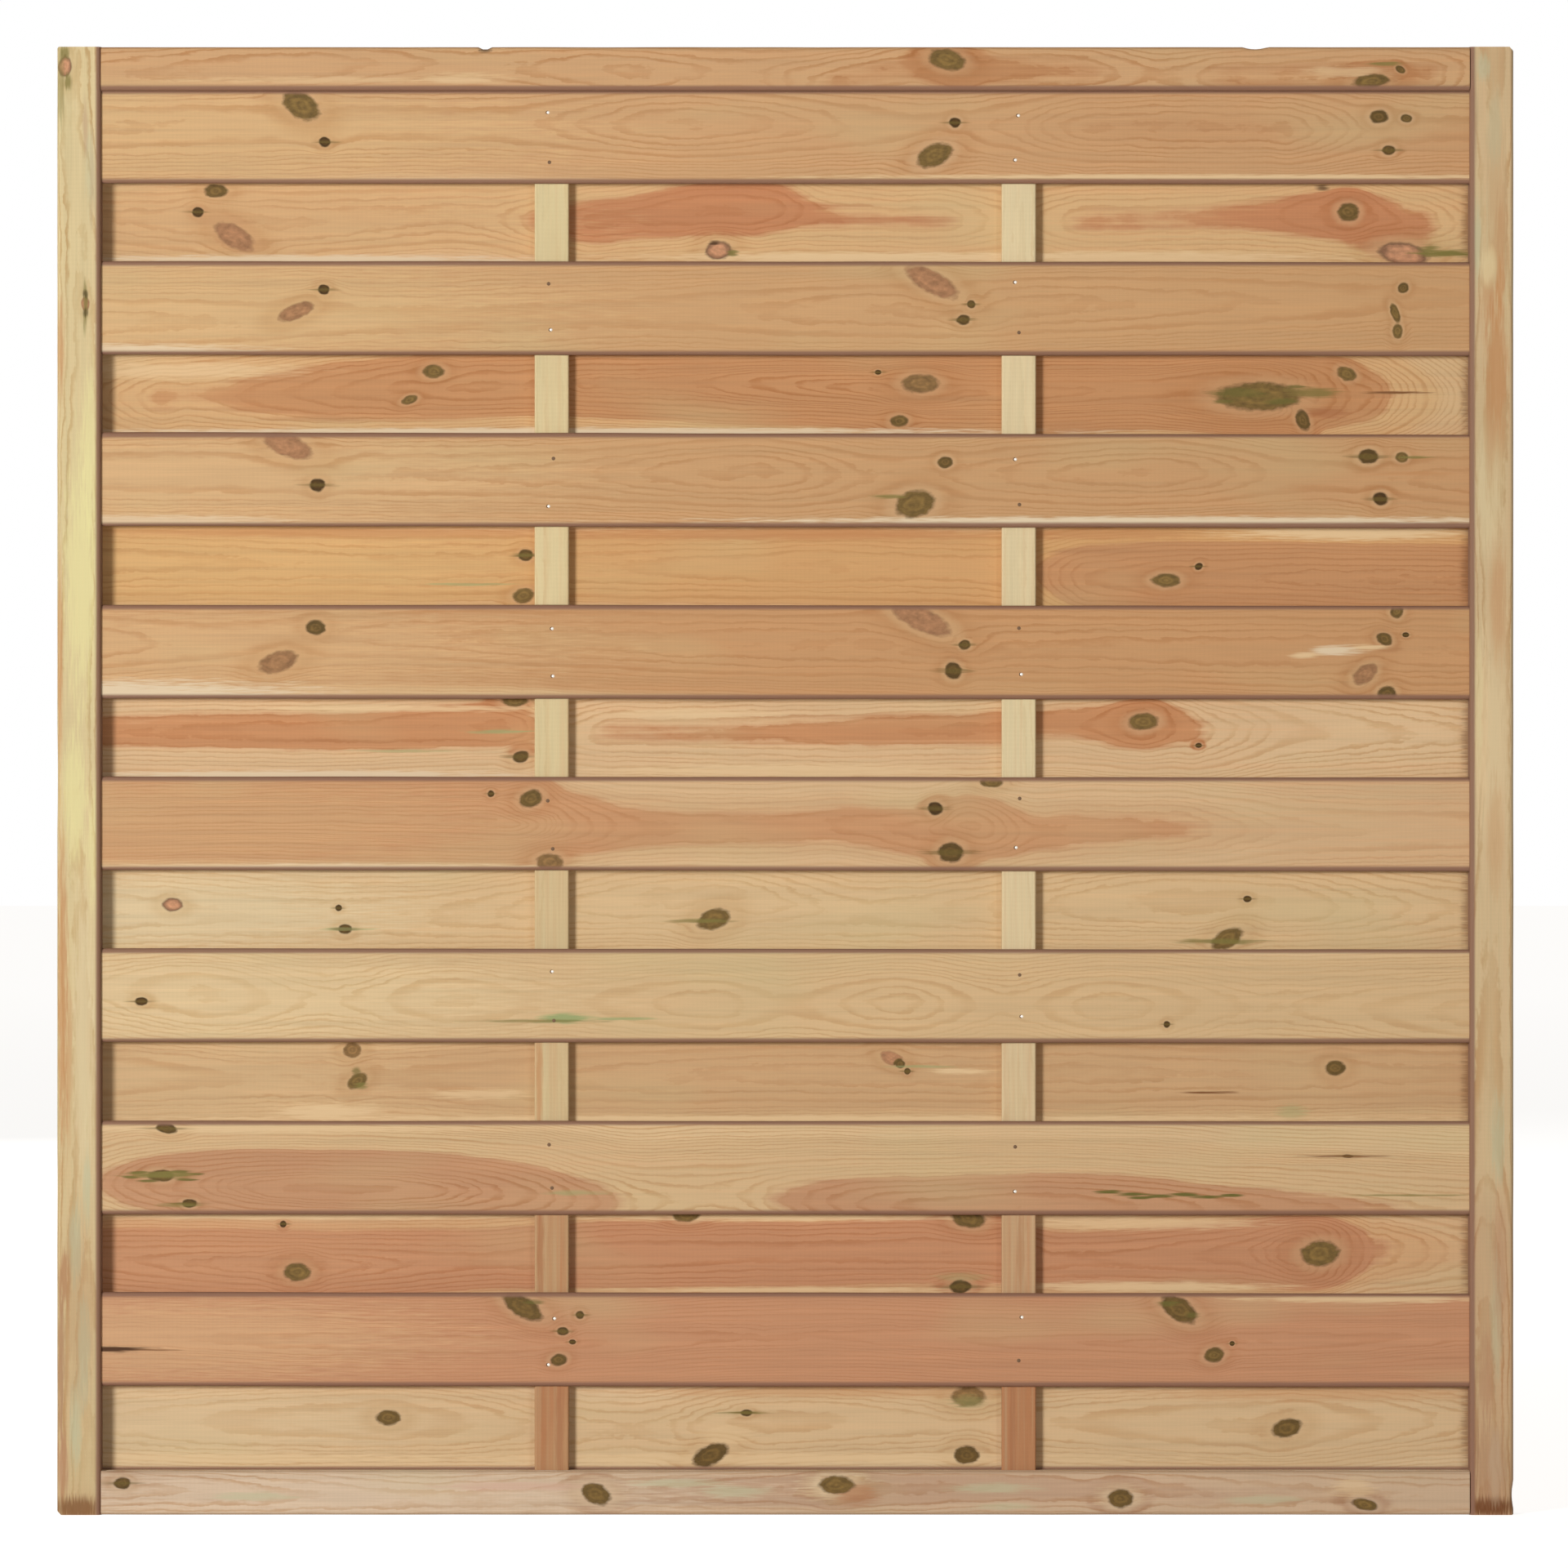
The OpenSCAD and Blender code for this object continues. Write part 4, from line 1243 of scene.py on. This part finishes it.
def dirty_and_shaded_pine():
    """Nearly black-brown wood round a nail head: crushed end grain that holds dirt, with the painted shade
    of the nail hole's left side.
    """
    material, add = new_material("dirty pine with painted shade round a nail")
    place = add("ShaderNodeTexCoord").outputs["Object"]
    # Crushed fibres are about half a millimetre across
    grit = add("ShaderNodeTexNoise", {"Vector": place, "Scale": 2 * MM})
    colour = add("ShaderNodeMix", {0: grit, 6: linear("#4A3322"), 7: linear("#8A6A4C")}, data_type="RGBA")
    shader = add("ShaderNodeBsdfPrincipled", {"Base Color": colour, "Roughness": 0.8})
    add("ShaderNodeOutputMaterial", {"Surface": shader})
    return material


# Operators


class FENCE_OT_grain(bpy.types.Operator):
    """Make the node groups that every timber's material shares"""

    bl_idname = "fence.grain"
    bl_label = "Pine Grain"

    def execute(self, context):
        knot_group()
        stain_group()
        pine_group()
        return {"FINISHED"}


class FENCE_OT_stiles(bpy.types.Operator):
    """Dress the two stiles"""

    bl_idname = "fence.stiles"
    bl_label = "Stiles"

    def execute(self, context):
        for node, timber in STILES.items():
            frame_piece(node, timber, UPRIGHT)
        return {"FINISHED"}


class FENCE_OT_rails(bpy.types.Operator):
    """Dress the two rails"""

    bl_idname = "fence.rails"
    bl_label = "Rails"

    def execute(self, context):
        for node, timber in RAILS.items():
            frame_piece(node, timber, LEVEL, tenons=True)
        return {"FINISHED"}


class FENCE_OT_battens(bpy.types.Operator):
    """Dress the two battens between the layers"""

    bl_idname = "fence.battens"
    bl_label = "Battens"

    def execute(self, context):
        for node, timber in BATTENS.items():
            batten_piece(node, timber)
        return {"FINISHED"}


class FENCE_OT_boards(bpy.types.Operator):
    """Dress the boards of both layers"""

    bl_idname = "fence.boards"
    bl_label = "Boards"

    def execute(self, context):
        for number in BOARDS:
            board_piece(f"front_board_{number}", FRONT[number])
            back = BACK[number]
            # Each back board also gets the stile's shade painted on at its right end
            back = back._replace(stains=(*back.stains, END_SHADE))
            board_piece(f"back_board_{number}", back)
        return {"FINISHED"}


class FENCE_OT_nails(bpy.types.Operator):
    """Drive two nails through each board into each batten"""

    bl_idname = "fence.nails"
    bl_label = "Nails"

    def execute(self, context):
        shape = context.scene.fence_shape
        chooser = random.Random(7)
        steel = galvanised_steel()
        nail_dirt_and_shade = dirty_and_shaded_pine()
        for layer, sign in (("front", -1), ("back", 1)):
            heads = bmesh.new()
            dimples = bmesh.new()
            for number in BOARDS:
                low, high = corners_mm(f"{layer}_board_{number}")
                face = low.y if sign < 0 else high.y
                for batten in BATTENS:
                    batten_low, batten_high = corners_mm(batten)
                    for side in (-1, 1):
                        x = (batten_low.x + batten_high.x) / 2
                        x += chooser.uniform(-NAIL_SWAY, NAIL_SWAY)
                        z = (low.z + high.z) / 2 + side * shape.nail_spread
                        z += chooser.uniform(-NAIL_DRIFT, NAIL_DRIFT)
                        place = Matrix.Translation((x, face + sign * NAIL_PROUD, z)) @ FACING
                        # The other nails are driven so deep that only a dark dimple shows
                        if chooser.random() < PROUD_SHARE:
                            add_dome(heads, shape.nail_r, place, HEAD_FLATNESS)
                        # A dark dimple round every nail, set to the left: dirt in the crushed wood and
                        # painted shade in the hole
                        shift = (-DIMPLE_SHIFT * shape.nail_r, 0, DIMPLE_SINK * sign)
                        place = place @ Matrix.Translation(shift)
                        add_dome(dimples, shape.nail_r * DIMPLE_SIZE, place, DIMPLE_FLATNESS)
            finish_mesh(heads, layer + "_nails", steel)
            finish_mesh(dimples, layer + "_nail_dimples", nail_dirt_and_shade)
        return {"FINISHED"}


class FENCE_OT_stage(bpy.types.Operator):
    """Set the floor, the lights and the camera"""

    bl_idname = "fence.stage"
    bl_label = "Stage"

    def execute(self, context):
        stage = context.scene.fence_stage
        add_floor()
        # Strengths are irradiances on the panel, and pi in all would render a colour as it is written
        add_softbox("key light", stage.key_turn, stage.key_rise, strength=2.45, width=2.8)
        add_softbox("fill light", math.radians(-24), math.radians(4), strength=0.36, width=2.4)
        add_softbox("back light", math.radians(152), math.radians(8), strength=1.2, width=2.8)
        add_world(strength=0.13)
        add_camera(stage.distance)
        return {"FINISHED"}


# Half the floor's width, and the distance from the panel's middle to each lamp, in metres
FLOOR_REACH = 60
LAMP_AWAY = 12


def add_floor():
    """A wide white floor that the panel stands on."""
    mesh = bmesh.new()
    bmesh.ops.create_grid(mesh, x_segments=1, y_segments=1, size=FLOOR_REACH)
    data = bpy.data.meshes.new("floor")
    mesh.to_mesh(data)
    mesh.free()
    floor = bpy.data.objects.new("floor", data)
    bpy.context.collection.objects.link(floor)
    material, add = new_material("white studio floor")
    # Its own glow makes up for lamps that are weaker far off, so only the panel's shadow greys it
    seen = seen_directly(add)
    place = add("ShaderNodeTexCoord").outputs["Object"]
    away = add("ShaderNodeVectorMath", {0: place}, operation="LENGTH")
    own = add("ShaderNodeMapRange", {0: away, 1: 2.0, 2: 30.0, 3: 0.81, 4: 0.88})
    glow = add("ShaderNodeMath", {0: seen, 1: own}, operation="MULTIPLY")
    plain = add("ShaderNodeBsdfDiffuse", {"Color": (0.8, 0.8, 0.8)})
    light = add("ShaderNodeEmission", {"Color": (1, 1, 1), "Strength": glow})
    both = add("ShaderNodeAddShader", {0: plain, 1: light})
    add("ShaderNodeOutputMaterial", {"Surface": both})
    data.materials.append(material)


def add_softbox(name, turn, rise, strength, width):
    """A round soft lamp, turned to the left of the camera and raised above level.

    Its strength is the irradiance that it gives a surface square on to it at the panel.
    """
    lamp = bpy.data.lights.new(name, "AREA")
    lamp.shape = "DISK"
    lamp.size = width
    lamp.energy = strength * math.pi * LAMP_AWAY ** 2
    level = math.cos(rise)
    to_panel = Vector((math.sin(turn) * level, math.cos(turn) * level, -math.sin(rise)))
    softbox = bpy.data.objects.new(name, lamp)
    bpy.context.collection.objects.link(softbox)
    softbox.location = Vector((PANEL_W, 0, PANEL_H)) / 2 / MM - to_panel * LAMP_AWAY
    softbox.rotation_euler = to_panel.to_track_quat("-Z", "Y").to_euler()


def add_world(strength):
    """Dim warm light from all round, which the camera sees as white behind the panel."""
    world = bpy.data.worlds.new("studio")
    bpy.context.scene.world = world
    world.use_nodes = True
    add = emptied(world.node_tree)
    seen = seen_directly(add)
    level = add("ShaderNodeMapRange", {0: seen, 3: strength, 4: 1.0})
    colour = add("ShaderNodeMix", {0: seen, 6: linear("#FFEFD8"), 7: (1, 1, 1)}, data_type="RGBA")
    sky = add("ShaderNodeBackground", {"Color": colour, "Strength": level})
    add("ShaderNodeOutputWorld", {"Surface": sky})


# Pixels of the photograph: its width and height, and the panel's left, top, right and bottom in it
PHOTO_SIZE = 1920
PHOTO_LEFT, PHOTO_TOP, PHOTO_RIGHT, PHOTO_BOTTOM = 69.3, 57.2, 1853.9, 1855.2


def add_camera(distance):
    """A long lens square on to the panel, which frames it as the photograph does."""
    pixel = PANEL_H / (PHOTO_BOTTOM - PHOTO_TOP) / MM
    data = bpy.data.cameras.new("camera")
    data.sensor_width = 36
    data.lens = data.sensor_width * distance / (PHOTO_SIZE * pixel)
    camera = bpy.data.objects.new("camera", data)
    bpy.context.collection.objects.link(camera)
    right = (PHOTO_SIZE - PHOTO_LEFT - PHOTO_RIGHT) / 2 * pixel
    up = (PHOTO_TOP + PHOTO_BOTTOM - PHOTO_SIZE) / 2 * pixel
    camera.location = (PANEL_W / 2 / MM + right, CAD_BOX[0].y - distance, PANEL_H / 2 / MM + up)
    camera.rotation_euler = (math.radians(90), 0, 0)
    bpy.context.scene.camera = camera


class VIEW3D_PT_fence_panel(bpy.types.Panel):
    """Lists the steps and settings of the fence panel"""

    bl_label = "Fence Panel"
    bl_space_type = "VIEW_3D"
    bl_region_type = "UI"
    bl_category = "Fence Panel"

    def draw(self, context):
        for step in STEPS:
            self.layout.operator(step.bl_idname)
        for group in (context.scene.fence_finish, context.scene.fence_shape, context.scene.fence_stage):
            box = self.layout.box()
            for name in group.bl_rna.properties.keys():
                if name not in {"rna_type", "name"}:
                    box.prop(group, name)


SETTINGS = (FenceFinish, FenceShape, FenceStage)
STEPS = (
    FENCE_OT_grain, FENCE_OT_stiles, FENCE_OT_rails, FENCE_OT_battens, FENCE_OT_boards, FENCE_OT_nails,
    FENCE_OT_stage)


def register():
    for cls in (*SETTINGS, *STEPS, VIEW3D_PT_fence_panel):
        bpy.utils.register_class(cls)
    bpy.types.Scene.fence_finish = PointerProperty(type=FenceFinish)
    bpy.types.Scene.fence_shape = PointerProperty(type=FenceShape)
    bpy.types.Scene.fence_stage = PointerProperty(type=FenceStage)


def unregister():
    del bpy.types.Scene.fence_stage
    del bpy.types.Scene.fence_shape
    del bpy.types.Scene.fence_finish
    for cls in reversed((*SETTINGS, *STEPS, VIEW3D_PT_fence_panel)):
        bpy.utils.unregister_class(cls)


def main():
    register()
    bpy.context.scene.view_settings.view_transform = "Standard"
    bpy.ops.fence.grain()
    bpy.ops.fence.stiles()
    bpy.ops.fence.rails()
    bpy.ops.fence.battens()
    bpy.ops.fence.boards()
    bpy.ops.fence.nails()
    bpy.ops.fence.stage()


if __name__ == "__main__":
    main()
